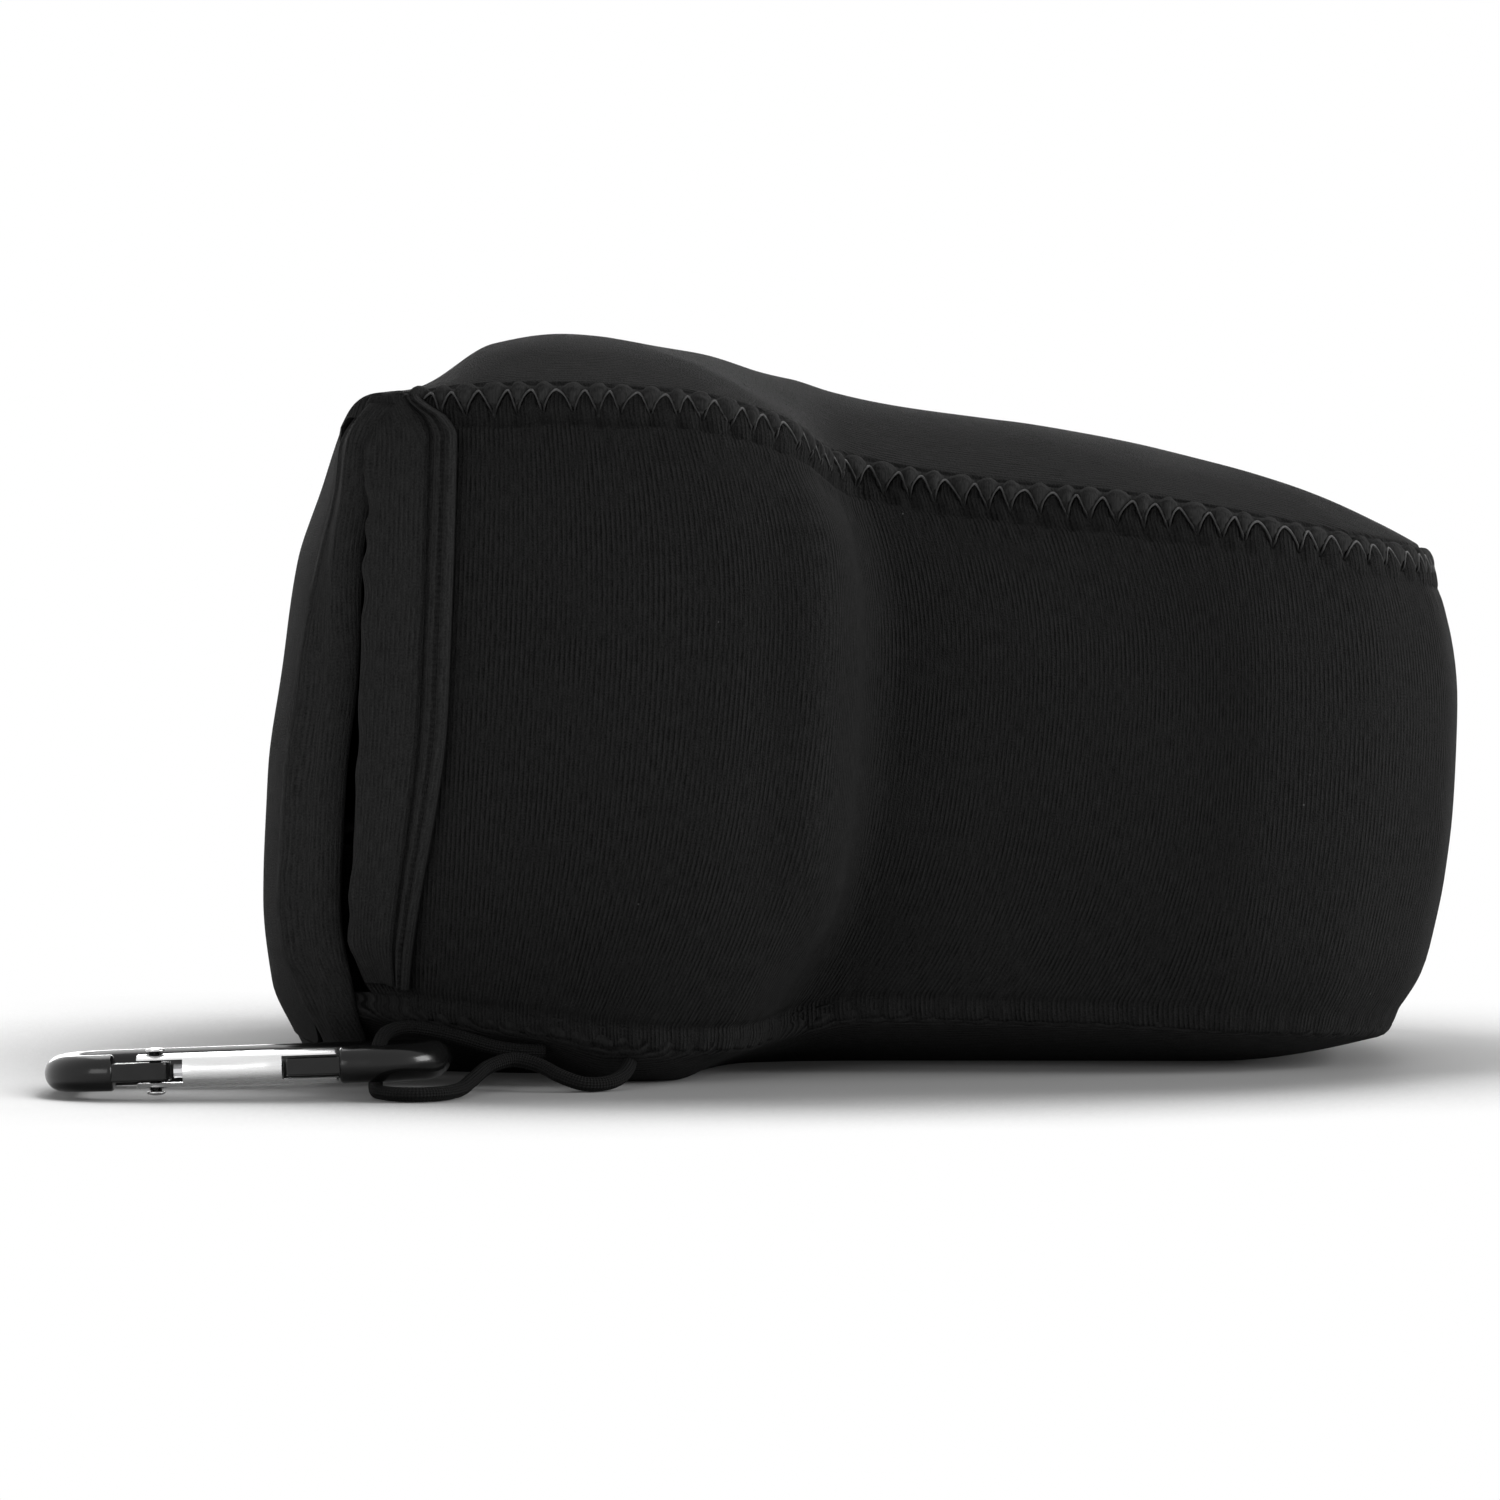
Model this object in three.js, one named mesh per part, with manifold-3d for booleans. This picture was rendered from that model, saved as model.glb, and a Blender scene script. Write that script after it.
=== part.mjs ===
// Camera case: a soft pouch for a camera body with its zoom lens on, with a rear flap and a small carabiner.
// Millimetres, +Z up, +X towards the lens end, -Y the side with the carabiner.
// The origin is under the middle of the case, on the surface that the case stands on.

import * as THREE from 'three';
import { mergeVertices } from 'three/addons/utils/BufferGeometryUtils.js';
import Module from 'manifold-3d';

const wasm = await Module();
wasm.setup();

// Sizes of the case
const caseHalfLength = 80.1;     // from the middle to the lens end and to the flap
const frontX = caseHalfLength - 0.4; // lens end half way up; it leans out a little above that
const shoulderX = -1.6;          // where the body part steps in to the lens part
const flapStandOff = 16.9;       // the flap's fullest place stands this far behind the band's rear edge
const rearX = flapStandOff - caseHalfLength; // rear edge of the side band, half way up
const bodyHalfWidth = 67;
const lensHalfWidth = 44.3;
const frontCornerRadius = 28;
const rearTaper = 5.6;           // how far the body part draws in at its rear edge
const wall = 3.0;                // neoprene of band and panels
const clear = 0.3;               // gap between pieces that are sewn or seated together

// The band's seams lie inside its bulge
const bodySeamInset = 7.4;
const lensSeamInset = 4.6;
const topFrontInset = 2.7;
const bottomFrontInset = 7.2;
const bottomShoulderInset = 10.5;

// Heights of the top seam, the ridge over the middle, and the bottom seam
const topSeamRear = 87.0;
const topSeamBody = 87.7;
const topSeamShoulder = 79.2;
const topSeamLens = 73.4;
const topSeamFront = 65.6;
const ridgeOverBody = 7.5;
const ridgeOverLens = 9.0;
const crownReach = 40;           // distance from the seam at which the top reaches its ridge
const bottomSeamRear = 11.4;
const bottomSeamBody = 6.3;
const bottomSeamLens = 9.2;
const bottomSeamFront = 4.8;
const bottomReach = 26;          // distance from the seam at which the bottom lies flat
const bulgePower = 2.6;

// Folded knit binding on the band's rear edges
const bindingThickness = 1.2;
const bindingOuterLeg = 10.6;
const bindingInnerLeg = 7.0;
const bindingFootShare = 0.72;   // the strip narrows to this share of its legs at its foot
const weltWidth = 2.5;
const weltRise = 0.8;

// Rear flap
const flapHalfWidth = bodyHalfWidth - 11;
const flapTop = topSeamRear + 0.2;
const flapCoreTop = flapTop - 3.6;
const flapFloorGap = 0.6;
const flapCornerRadius = 15;
const flapBow = 9.0;             // how far the flap's sides lie ahead of its middle
const flapBowPower = 2.2;
const coverThickness = 1.1;
const coreThickness = 1.8;
const flapBindingThickness = 0.9;
const coverSideInset = 7.5;
const coverBottomInset = 3.6;

// Closure: hook strip on the flap, loop strip on the lip of the bottom panel
const stripThickness = 1.0;
const stripHalfWidth = flapHalfWidth - 18;
const stripBottom = 10;
const stripHeight = 12;
const lipHeight = 29;
const lipHalfWidth = flapHalfWidth - 10;
const lipThickness = 2.4;
const lipBindingLeg = 5.2;

// Carabiner, measured in its own frame: x along it with the hinge end at -x, gate on its -y side
const carabinerLength = 51;
const carabinerWidth = 24;
const barDiameter = 4.6;
const carabinerCornerRadius = 7;
const hingeX = -11;
const tongueThickness = 2.3;
const tongueRadius = 2.0;
const noseTongueLength = 6.7;
const noseTongueHeight = 3.2;
const gateDiameter = 4.4;
const gateSlotClear = 0.3;
const gateRunningGap = 0.3;
const rivetRadius = 0.75;
const rivetHeadRadius = 1.2;
const rivetHeadThickness = 0.5;
const plungerRadius = 0.85;
const plungerLength = 3.6;
const springWire = 0.32;
const springCoilRadius = 0.75;
const springTurns = 7;
const springLength = 5.6;
const carabinerPlace = new THREE.Vector3(-78.2, -66, 3.5);
const carabinerPitch = THREE.MathUtils.degToRad(2.0);
const carabinerRoll = THREE.MathUtils.degToRad(2.6);

// Cord loop, from where it leaves the bottom edge to where it goes back in
const cordDiameter = 1.9;
const cordPoints = [
  [-41.0, -57.0, 4.6],
  [-44.2, -57.3, 4.7],
  [-47.5, -57.5, 5.2],
  [-51.0, -57.5, 6.2],
  [-54.6, -57.5, 7.1],
  [-58.4, -58.3, 7.7],
  [-61.0, -60.8, 7.25],
  [-61.9, -63.8, 5.7],
  [-62.0, -66.3, 3.7],
  [-62.0, -69.2, 1.75],
  [-61.8, -72.4, 1.03],
  [-61.2, -75.9, 1.0],
  [-59.4, -78.8, 1.0],
  [-56.4, -79.8, 1.0],
  [-53.6, -78.2, 1.0],
  [-52.0, -75.0, 1.0],
  [-51.0, -71.4, 1.1],
  [-49.8, -67.6, 1.9],
  [-47.9, -64.0, 3.2],
  [-45.0, -61.9, 3.9],
  [-41.8, -62.3, 3.3],
  [-38.8, -64.2, 2.0],
  [-35.8, -65.0, 1.1],
  [-33.0, -63.8, 1.1],
  [-31.2, -61.2, 1.7],
  [-30.4, -58.6, 2.6],
  [-30.2, -56.8, 3.1],
];

const looks = {
  neoprene: new THREE.MeshStandardMaterial({ color: 0x1b1b1c, roughness: 0.9, metalness: 0 }),
  knit: new THREE.MeshStandardMaterial({ color: 0x202021, roughness: 0.95, metalness: 0 }),
  closure: new THREE.MeshStandardMaterial({ color: 0x141415, roughness: 1, metalness: 0 }),
  cord: new THREE.MeshStandardMaterial({ color: 0x171718, roughness: 0.9, metalness: 0 }),
  blackMetal: new THREE.MeshStandardMaterial({ color: 0x0e0e0f, roughness: 0.25, metalness: 0.3 }),
  aluminium: new THREE.MeshStandardMaterial({ color: 0xc9cbcd, roughness: 0.3, metalness: 1 }),
  steel: new THREE.MeshStandardMaterial({ color: 0xb4b6b8, roughness: 0.35, metalness: 1 }),
};

const { clamp, lerp, smoothstep } = THREE.MathUtils;

// A smooth curve through a few chosen points, read by their first value
function through(points) {
  const slopes = points.map((point, i) => {
    const before = points[Math.max(i - 1, 0)];
    const after = points[Math.min(i + 1, points.length - 1)];
    const left = (point[1] - before[1]) / (point[0] - before[0] || 1);
    const right = (after[1] - point[1]) / (after[0] - point[0] || 1);
    if (i === 0) return right;
    if (i === points.length - 1) return left;
    return left * right > 0 ? (2 * left * right) / (left + right) : 0;
  });
  return (x) => {
    if (x <= points[0][0]) return points[0][1];
    const last = points.length - 1;
    if (x >= points[last][0]) return points[last][1];
    const i = points.findIndex((point) => point[0] > x) - 1;
    const span = points[i + 1][0] - points[i][0];
    const t = (x - points[i][0]) / span;
    const rise = (2 * t ** 3 - 3 * t ** 2 + 1) * points[i][1] + (3 * t ** 2 - 2 * t ** 3) * points[i + 1][1];
    const lean = (t ** 3 - 2 * t ** 2 + t) * slopes[i] + (t ** 3 - t ** 2) * slopes[i + 1];
    return rise + lean * span;
  };
}

// A closed mesh from points and triangles, turned so that its faces point out
function closedGeometry(points, triangles) {
  let volume = 0;
  for (let i = 0; i < triangles.length; i += 3) {
    const [a, b, c] = triangles.slice(i, i + 3).map((k) => points[k]);
    volume += a.dot(b.clone().cross(c));
  }
  const order = volume < 0 ? triangles.slice().reverse() : triangles;
  const geometry = new THREE.BufferGeometry();
  geometry.setAttribute('position', new THREE.Float32BufferAttribute(points.flatMap((p) => p.toArray()), 3));
  geometry.setIndex(order);
  return geometry;
}

// The solid between two matching grids of points, the two faces of a sheet
function sheetSolid(front, back) {
  const rows = front.length;
  const columns = front[0].length;
  const points = [...front.flat(), ...back.flat()];
  const triangles = [];
  const at = (side, row, column) => side * rows * columns + row * columns + column;
  const quad = (a, b, c, d) => triangles.push(a, b, c, a, c, d);
  for (let i = 0; i < rows - 1; i += 1) {
    for (let j = 0; j < columns - 1; j += 1) {
      quad(at(0, i, j), at(0, i, j + 1), at(0, i + 1, j + 1), at(0, i + 1, j));
      quad(at(1, i, j), at(1, i + 1, j), at(1, i + 1, j + 1), at(1, i, j + 1));
    }
    quad(at(0, i, 0), at(0, i + 1, 0), at(1, i + 1, 0), at(1, i, 0));
    quad(at(0, i + 1, columns - 1), at(0, i, columns - 1), at(1, i, columns - 1), at(1, i + 1, columns - 1));
  }
  for (let j = 0; j < columns - 1; j += 1) {
    quad(at(0, 0, j + 1), at(0, 0, j), at(1, 0, j), at(1, 0, j + 1));
    quad(at(0, rows - 1, j), at(0, rows - 1, j + 1), at(1, rows - 1, j + 1), at(1, rows - 1, j));
  }
  return closedGeometry(points, triangles);
}

// The solid that joins a row of closed sections; outline is the section's shape in two dimensions
function sectionSolid(sections, outline) {
  const count = outline.length;
  const points = sections.flat();
  const triangles = [];
  for (let i = 0; i < sections.length - 1; i += 1) {
    for (let j = 0; j < count; j += 1) {
      const next = (j + 1) % count;
      const [a, b, c, d] = [i * count + j, i * count + next, (i + 1) * count + next, (i + 1) * count + j];
      triangles.push(a, b, c, a, c, d);
    }
  }
  const turned = THREE.ShapeUtils.isClockWise(outline);
  const cap = THREE.ShapeUtils.triangulateShape(turned ? outline.slice().reverse() : outline, []);
  const end = (sections.length - 1) * count;
  for (const face of cap) {
    const [a, b, c] = face.map((k) => (turned ? count - 1 - k : k));
    if (turned) triangles.push(a, b, c, end + a, end + c, end + b);
    else triangles.push(a, c, b, end + a, end + b, end + c);
  }
  return closedGeometry(points, triangles);
}

function mirrored(geometry) {
  const copy = geometry.clone();
  copy.scale(1, -1, 1);
  copy.setIndex(Array.from(copy.index.array).reverse());
  return copy;
}

// One plan outline of the band's near side, from its rear edge round to the middle of the lens end.
// The three outlines of the band, at its bottom seam, its bulge and its top seam, have matching points.
function planOutline({ rear, half, shoulder, lensHalf, front, corner }) {
  const middle = (rear + shoulder) / 2;
  const points = [
    [rear, half - rearTaper],
    [rear + 11.5, half - rearTaper * 0.36],
    [middle, half],
    [shoulder - 15.5, half - 0.4],
    [shoulder - 5.4, half - 4.2],
    [shoulder - 1.0, half - 9.8],
    [shoulder + 0.8, lensHalf + 5.4],
    [shoulder + 3.4, lensHalf + 1.4],
    [shoulder + 9.5, lensHalf + 0.1],
    [(shoulder + front) / 2, lensHalf],
    [front - corner, lensHalf],
  ];
  const flatFront = lensHalf - corner;
  for (const angle of [30, 60, 90]) {
    const turn = THREE.MathUtils.degToRad(angle);
    const bow = angle === 90 ? 0.7 : 0;
    points.push([front - corner + corner * Math.sin(turn) - bow, flatFront + corner * Math.cos(turn)]);
  }
  points.push([front, 0]);
  const nodes = points.map(([x, w]) => new THREE.Vector3(x, -w, 0));
  return new THREE.CatmullRomCurve3(nodes, false, 'catmullrom', 0.4);
}

const bulgeOutline = planOutline({
  rear: rearX, half: bodyHalfWidth, shoulder: shoulderX, lensHalf: lensHalfWidth, front: frontX,
  corner: frontCornerRadius,
});
const topOutline = planOutline({
  rear: rearX + 0.9, half: bodyHalfWidth - bodySeamInset, shoulder: shoulderX - 3.2,
  lensHalf: lensHalfWidth - lensSeamInset, front: frontX - topFrontInset, corner: frontCornerRadius - 2,
});
const bottomOutline = planOutline({
  rear: rearX - 2.3, half: bodyHalfWidth - bodySeamInset + 0.4,
  shoulder: shoulderX - bottomShoulderInset,
  lensHalf: lensHalfWidth - lensSeamInset - 0.3, front: frontX - bottomFrontInset,
  corner: frontCornerRadius - 3,
});
const outlineSpans = bulgeOutline.points.length - 1;

const topSeamZ = through([
  [rearX - 2.8, topSeamRear],
  [shoulderX - 40, topSeamBody],
  [shoulderX - 22, topSeamBody - 0.7],
  [shoulderX - 8, topSeamBody - 4.4],
  [shoulderX - 2.4, topSeamShoulder],
  [shoulderX + 18, topSeamShoulder - 3.8],
  [shoulderX + 37, topSeamLens],
  [frontX - topFrontInset, topSeamFront],
]);
const ridgeRise = through([
  [rearX - 5, 0.2],
  [rearX + 3.5, 0.6],
  [rearX + 14.5, ridgeOverBody - 1.1],
  [rearX + 24, ridgeOverBody],
  [rearX + 42, ridgeOverBody - 1.6],
  [shoulderX - 13.4, ridgeOverBody - 2.0],
  [shoulderX - 8, ridgeOverLens - 2.9],
  [shoulderX - 2.4, ridgeOverLens - 0.6],
  [shoulderX + 21, ridgeOverLens - 0.3],
  [frontX - 34, ridgeOverLens - 2.0],
  [frontX - 14, ridgeOverLens - 0.8],
  [frontX, ridgeOverLens + 1],
]);
const bottomSeamZ = through([
  [rearX, bottomSeamRear],
  [rearX + 30, (bottomSeamRear + bottomSeamBody) / 2 - 1.2],
  [shoulderX - 14, bottomSeamBody],
  [shoulderX + 2, bottomSeamLens],
  [shoulderX + 30, bottomSeamLens - 0.6],
  [frontX - bottomFrontInset, bottomSeamFront],
]);

// Distance from a point in plan to a seam outline, near or far side
function seamDistance(outline) {
  const line = outline.getPoints(outlineSpans * 6);
  return (x, y) => {
    const target = new THREE.Vector3(x, -Math.abs(y), 0);
    const nearest = new THREE.Vector3();
    let best = Infinity;
    for (let i = 0; i < line.length - 1; i += 1) {
      new THREE.Line3(line[i], line[i + 1]).closestPointToPoint(target, true, nearest);
      best = Math.min(best, nearest.distanceTo(target));
    }
    return best;
  };
}

const fromTopSeam = seamDistance(topOutline);
const fromBottomSeam = seamDistance(bottomOutline);

// Outer face of the top panel; its edge stands half a wall over the seam
function topZ(x, y) {
  const rise = 1 - (1 - clamp(fromTopSeam(x, y) / crownReach, 0, 1)) ** 2;
  return topSeamZ(x) + wall / 2 + ridgeRise(x) * rise;
}

// Outer face of the bottom panel, flat in its middle
function bottomZ(x, y) {
  const lift = (1 - clamp(fromBottomSeam(x, y) / bottomReach, 0, 1)) ** 2;
  return (bottomSeamZ(x) - wall / 2) * lift;
}

// A point of the band's outer face.
// Its t runs from the rear edge to the middle of the lens end, and its v from bottom to top.
function bandPoint(t, v) {
  const bottom = bottomOutline.getPoint(t);
  const top = topOutline.getPoint(t);
  const bulge = bulgeOutline.getPoint(t);
  bottom.z = bottomSeamZ(bottom.x) + wall / 2 + clear;
  top.z = topSeamZ(top.x) - wall / 2 - clear;
  const level = bottom.clone().lerp(top, v);
  const middle = bottom.clone().lerp(top, 0.5);
  const fullness = 1 - Math.abs(2 * v - 1) ** bulgePower;
  level.x += (bulge.x - middle.x) * fullness;
  level.y += (bulge.y - middle.y) * fullness;
  return level;
}

// Outward direction of the band, level with the floor
function bandNormal(t, v) {
  const step = 0.004;
  const behind = bandPoint(Math.max(t - step, 0), v);
  const ahead = bandPoint(Math.min(t + step, 1), v);
  if (t >= 1) return new THREE.Vector3(1, 0, 0);
  const along = ahead.sub(behind);
  return new THREE.Vector3(-along.y, along.x, 0).normalize().negate();
}

// Levels of the band from bottom to top, closer together where it turns in to its seams
const bandRows = 9;
const bandLevels = Array.from({ length: bandRows + 1 }, (_, j) => {
  return lerp(j / bandRows, 0.5 - 0.5 * Math.cos((Math.PI * j) / bandRows), 0.6);
});

function sideBand() {
  const steps = outlineSpans * 3;
  const near = Array.from({ length: steps + 1 }, (_, i) => i / steps);
  const far = near.slice(0, -1).reverse();
  const outer = [];
  const inner = [];
  const addColumn = (t, side) => {
    const column = bandLevels.map((v) => bandPoint(t, v));
    const lining = column.map((point, j) => {
      return point.clone().addScaledVector(bandNormal(t, bandLevels[j]), -wall);
    });
    const place = (point) => new THREE.Vector3(point.x, point.y * side, point.z);
    outer.push(column.map(place));
    inner.push(lining.map(place));
  };
  near.forEach((t) => addColumn(t, 1));
  far.forEach((t) => addColumn(t, -1));
  return sheetSolid(outer, inner);
}

// Rows across a panel, from the rear to the lens end; the last row is the seam round the lens end
function panelRows(outline, rearEnd, steps, columns) {
  const cornerT = (outlineSpans - 2) / outlineSpans;
  const cornerEnd = outline.getPoint(cornerT);
  const rows = [];
  const addRow = (edgeX, halfWidth, reach) => {
    const row = [];
    for (let j = 0; j <= columns; j += 1) {
      const s = (2 * j) / columns - 1;
      const arc = outline.getPoint(lerp(1, cornerT, Math.abs(s)));
      const share = arc.y / cornerEnd.y;
      row.push([edgeX + reach * (arc.x - cornerEnd.x), Math.sign(s) * share * halfWidth]);
    }
    rows.push(row);
  };
  const first = outline.getPoint(0);
  for (const x of rearEnd) addRow(x, -first.y, 0);
  for (let i = 0; i <= steps; i += 1) {
    const edge = outline.getPoint((cornerT * i) / steps);
    const along = (edge.x - first.x) / (cornerEnd.x - first.x);
    addRow(edge.x, -edge.y, smoothstep(along, 0.45, 1) ** 1.5);
  }
  return rows;
}

function topPanel() {
  const rows = panelRows(topOutline, [panelRearX], 28, 14);
  const outer = rows.map((row) => row.map(([x, y]) => new THREE.Vector3(x, y, topZ(x, y))));
  const inner = outer.map((row) => row.map((p) => new THREE.Vector3(p.x, p.y, p.z - wall)));
  return sheetSolid(outer, inner);
}

// Outer face of the flap at its middle, from the floor to the hinge, and its bow towards its sides
const flapMiddleX = through([
  [0, -caseHalfLength + 6.2],
  [1.8, -caseHalfLength + 5.0],
  [4.2, -caseHalfLength + 3.9],
  [10.6, -caseHalfLength + 1.1],
  [22, -caseHalfLength],
  [38, -caseHalfLength + 0.7],
  [53.4, -caseHalfLength + 2.6],
  [66.4, -caseHalfLength + 4.6],
  [flapTop - 10.4, -caseHalfLength + 8.4],
  [flapTop - 4.8, -caseHalfLength + 10.4],
  [flapTop, -caseHalfLength + 12.7],
]);
const flapSideBow = through([
  [0, flapBow * 0.75],
  [flapTop * 0.23, flapBow],
  [flapTop * 0.55, flapBow],
  [flapTop * 0.71, flapBow * 0.88],
  [flapTop * 0.85, flapBow * 0.58],
  [flapCoreTop, flapBow * 0.1],
]);

function flapX(y, z) {
  return flapMiddleX(z) + flapSideBow(z) * Math.abs(y / flapHalfWidth) ** flapBowPower;
}

// Depths behind the flap's outer face
const coreFace = coverThickness + clear;
const coreBack = coreFace + coreThickness;
const hookFace = coreBack + clear;
const loopFace = hookFace + stripThickness + clear;
const lipFace = loopFace + stripThickness + clear;
const hingeAxisZ = flapTop + 0.9;
const hingeAxisX = flapMiddleX(flapTop) + coverThickness + 0.7;
const panelRearX = hingeAxisX + 0.4;

// The bottom panel runs on past its seam, turns up and ends as the lip
function bottomPanel() {
  const rows = panelRows(bottomOutline, [], 24, 14);
  const outer = rows.map((row) => row.map(([x, y]) => new THREE.Vector3(x, y, bottomZ(x, y))));
  const inner = outer.map((row) => row.map((p) => new THREE.Vector3(p.x, p.y, p.z + wall)));
  const lipLevels = [2.0, 4.6, 8, 12, 18, 24, lipHeight];
  const bend = [0.45, 0.75, 1.0, 1.2, 1.4, Math.PI / 2, Math.PI / 2];
  const edge = rows[0];
  const lipRows = lipLevels.map((level) => edge.map(([x, y]) => {
    const lipY = (y / Math.abs(edge[0][1])) * lipHalfWidth;
    const base = bottomZ(x, lipY);
    const z = base + level * (1 - base / lipHeight);
    return new THREE.Vector3(flapX(lipY, z) + lipFace, lipY, z);
  }));
  const lipLining = lipRows.map((row, k) => row.map((p) => {
    const thickness = lerp(wall, lipThickness, Math.min(1, (k + 1) / 3));
    return new THREE.Vector3(p.x + thickness * Math.sin(bend[k]), p.y, p.z + thickness * Math.cos(bend[k]));
  }));
  return sheetSolid([...lipRows.reverse(), ...outer], [...lipLining.reverse(), ...inner]);
}

// Folded strip over the band's rear edge, with a raised welt along its forward side
function edgeBinding() {
  const firstSpan = bulgeOutline.points[1].x - bulgeOutline.points[0].x;
  const skin = bindingThickness;
  const fold = clear + skin;
  const leg = bindingOuterLeg;
  const outline = [
    [leg, clear + skin + weltRise * 0.5],
    [leg - 0.5, clear + skin + weltRise],
    [leg - weltWidth + 0.4, clear + skin + weltRise],
    [leg - weltWidth, clear + skin],
    [leg * 0.5, clear + skin],
    [0, clear + skin],
    [-fold * 0.75, clear],
    [-fold, -wall * 0.25],
    [-fold, -wall * 0.75],
    [-fold * 0.75, -wall - clear],
    [0, -wall - clear - skin],
    [bindingInnerLeg, -wall - clear - skin],
    [bindingInnerLeg, -wall - clear],
    [0, -wall - clear],
    [-clear, -wall * 0.8],
    [-clear, -wall * 0.2],
    [0, clear],
    [leg * 0.5, clear],
    [leg, clear],
  ].map(([s, d]) => new THREE.Vector2(s, d));
  const sections = bandLevels.map((v) => {
    const width = lerp(bindingFootShare, 1, smoothstep(v, 0, 0.5));
    return outline.map(({ x: s, y: d }) => {
      const t = (clamp(s, 0, leg) * width) / firstSpan / outlineSpans;
      const point = bandPoint(t, v);
      const normal = bandNormal(t, v);
      const inward = new THREE.Vector3(-normal.y, normal.x, 0);
      return point.addScaledVector(normal, d).addScaledVector(inward, Math.min(s, 0));
    });
  });
  return sectionSolid(sections, outline);
}

// Folded strip over the lip's top edge
function lipBinding() {
  const stations = 14;
  const skin = flapBindingThickness;
  const outline = [
    [-lipBindingLeg, -clear - skin],
    [clear, -clear - skin],
    [clear + skin, 0],
    [clear + skin, lipThickness],
    [clear, lipThickness + clear + skin],
    [-lipBindingLeg, lipThickness + clear + skin],
    [-lipBindingLeg, lipThickness + clear],
    [clear, lipThickness + clear],
    [clear, -clear],
    [-lipBindingLeg, -clear],
  ].map(([s, d]) => new THREE.Vector2(s, d));
  const sections = Array.from({ length: stations + 1 }, (_, k) => {
    const y = lerp(-lipHalfWidth, lipHalfWidth, k / stations);
    return outline.map(({ x: s, y: d }) => {
      const z = lipHeight + s;
      return new THREE.Vector3(flapX(y, Math.min(z, lipHeight)) + lipFace + d, y, z);
    });
  });
  return sectionSolid(sections, outline);
}

// The flap's outline on one side, drawn in by an inset.
// It runs from the top, round the corner, to the middle of the foot.
function flapEdge(inset, top) {
  const sideSteps = 8;
  const cornerSteps = 7;
  const footSteps = 3;
  const halfWidth = flapHalfWidth - inset;
  const foot = flapFloorGap + inset;
  const radius = flapCornerRadius - inset;
  const edge = [];
  for (let i = 0; i < sideSteps; i += 1) {
    edge.push(new THREE.Vector2(-halfWidth, lerp(top, foot + radius, i / sideSteps)));
  }
  for (let i = 0; i <= cornerSteps; i += 1) {
    const turn = (Math.PI / 2) * (i / cornerSteps);
    const drawnIn = radius * (1 - Math.cos(turn));
    edge.push(new THREE.Vector2(-halfWidth + drawnIn, foot + radius * (1 - Math.sin(turn))));
  }
  for (let i = 1; i <= footSteps; i += 1) {
    edge.push(new THREE.Vector2(lerp(-halfWidth + radius, 0, i / footSteps), foot));
  }
  return edge;
}

// A layer of the flap between two depths behind its outer face, with two round corners at its foot
function flapLayer({ sideInset, bottomInset, top, nearDepth, farDepth }) {
  const cornerSteps = 6;
  const sideSteps = 9;
  const columns = 14;
  const halfWidth = flapHalfWidth - sideInset;
  const foot = flapFloorGap + bottomInset;
  const radius = flapCornerRadius - (sideInset + bottomInset) / 2;
  const levels = [];
  for (let i = 0; i <= cornerSteps; i += 1) {
    const turn = (Math.PI / 2) * (i / cornerSteps);
    levels.push([foot + radius * (1 - Math.cos(turn)), halfWidth - radius * (1 - Math.sin(turn))]);
  }
  const sideStart = flapFloorGap + flapCornerRadius + 1.5;
  for (let i = 0; i <= sideSteps; i += 1) {
    levels.push([lerp(sideStart, flapCoreTop, (i / sideSteps) ** 0.85), halfWidth]);
  }
  if (top > flapCoreTop) levels.push([top, halfWidth]);
  const layer = (depth) => levels.map(([z, half]) => Array.from({ length: columns + 1 }, (_, j) => {
    const s = (2 * j) / columns - 1;
    const y = half * Math.sign(s) * (1 - (1 - Math.abs(s)) ** 1.6);
    return new THREE.Vector3(flapX(y, z) + depth, y, z);
  }));
  return sheetSolid(layer(nearDepth), layer(farDepth));
}

// Folded strip round the sides and the foot of the flap.
// The section's legs are given as shares of their length.
function flapEdgeBinding() {
  const skin = flapBindingThickness;
  const fold = clear + skin;
  const half = flapEdge(fold, flapCoreTop);
  const edge = [...half, ...half.slice(0, -1).reverse().map((p) => new THREE.Vector2(-p.x, p.y))];
  const outline = [
    [1, coreFace - clear - skin],
    [0.5, coreFace - clear - skin],
    [0, coreFace - clear - skin],
    [-fold * 0.7, coreFace - clear],
    [-fold, coreFace + coreThickness * 0.25],
    [-fold, coreFace + coreThickness * 0.75],
    [-fold * 0.7, coreBack + clear],
    [0, coreBack + clear + skin],
    [0.5, coreBack + clear + skin],
    [1, coreBack + clear + skin],
    [1, coreBack + clear],
    [0.5, coreBack + clear],
    [0, coreBack + clear],
    [-clear, coreFace + coreThickness * 0.8],
    [-clear, coreFace + coreThickness * 0.2],
    [0, coreFace - clear],
    [0.5, coreFace - clear],
    [1, coreFace - clear],
  ].map(([s, d]) => new THREE.Vector2(s, d));
  const sections = edge.map((point, i) => {
    const before = edge[Math.max(i - 1, 0)];
    const after = edge[Math.min(i + 1, edge.length - 1)];
    const along = after.clone().sub(before).normalize();
    const inward = new THREE.Vector2(-along.y, along.x);
    const level = Math.abs(along.x);
    const leg = lerp(coverSideInset, coverBottomInset, level) - fold - clear;
    return outline.map(({ x: s, y: depth }) => {
      const place = point.clone().addScaledVector(inward, s > 0 ? s * leg : s);
      return new THREE.Vector3(flapX(place.x, place.y) + depth, place.x, place.y);
    });
  });
  return sectionSolid(sections, outline);
}

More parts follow.
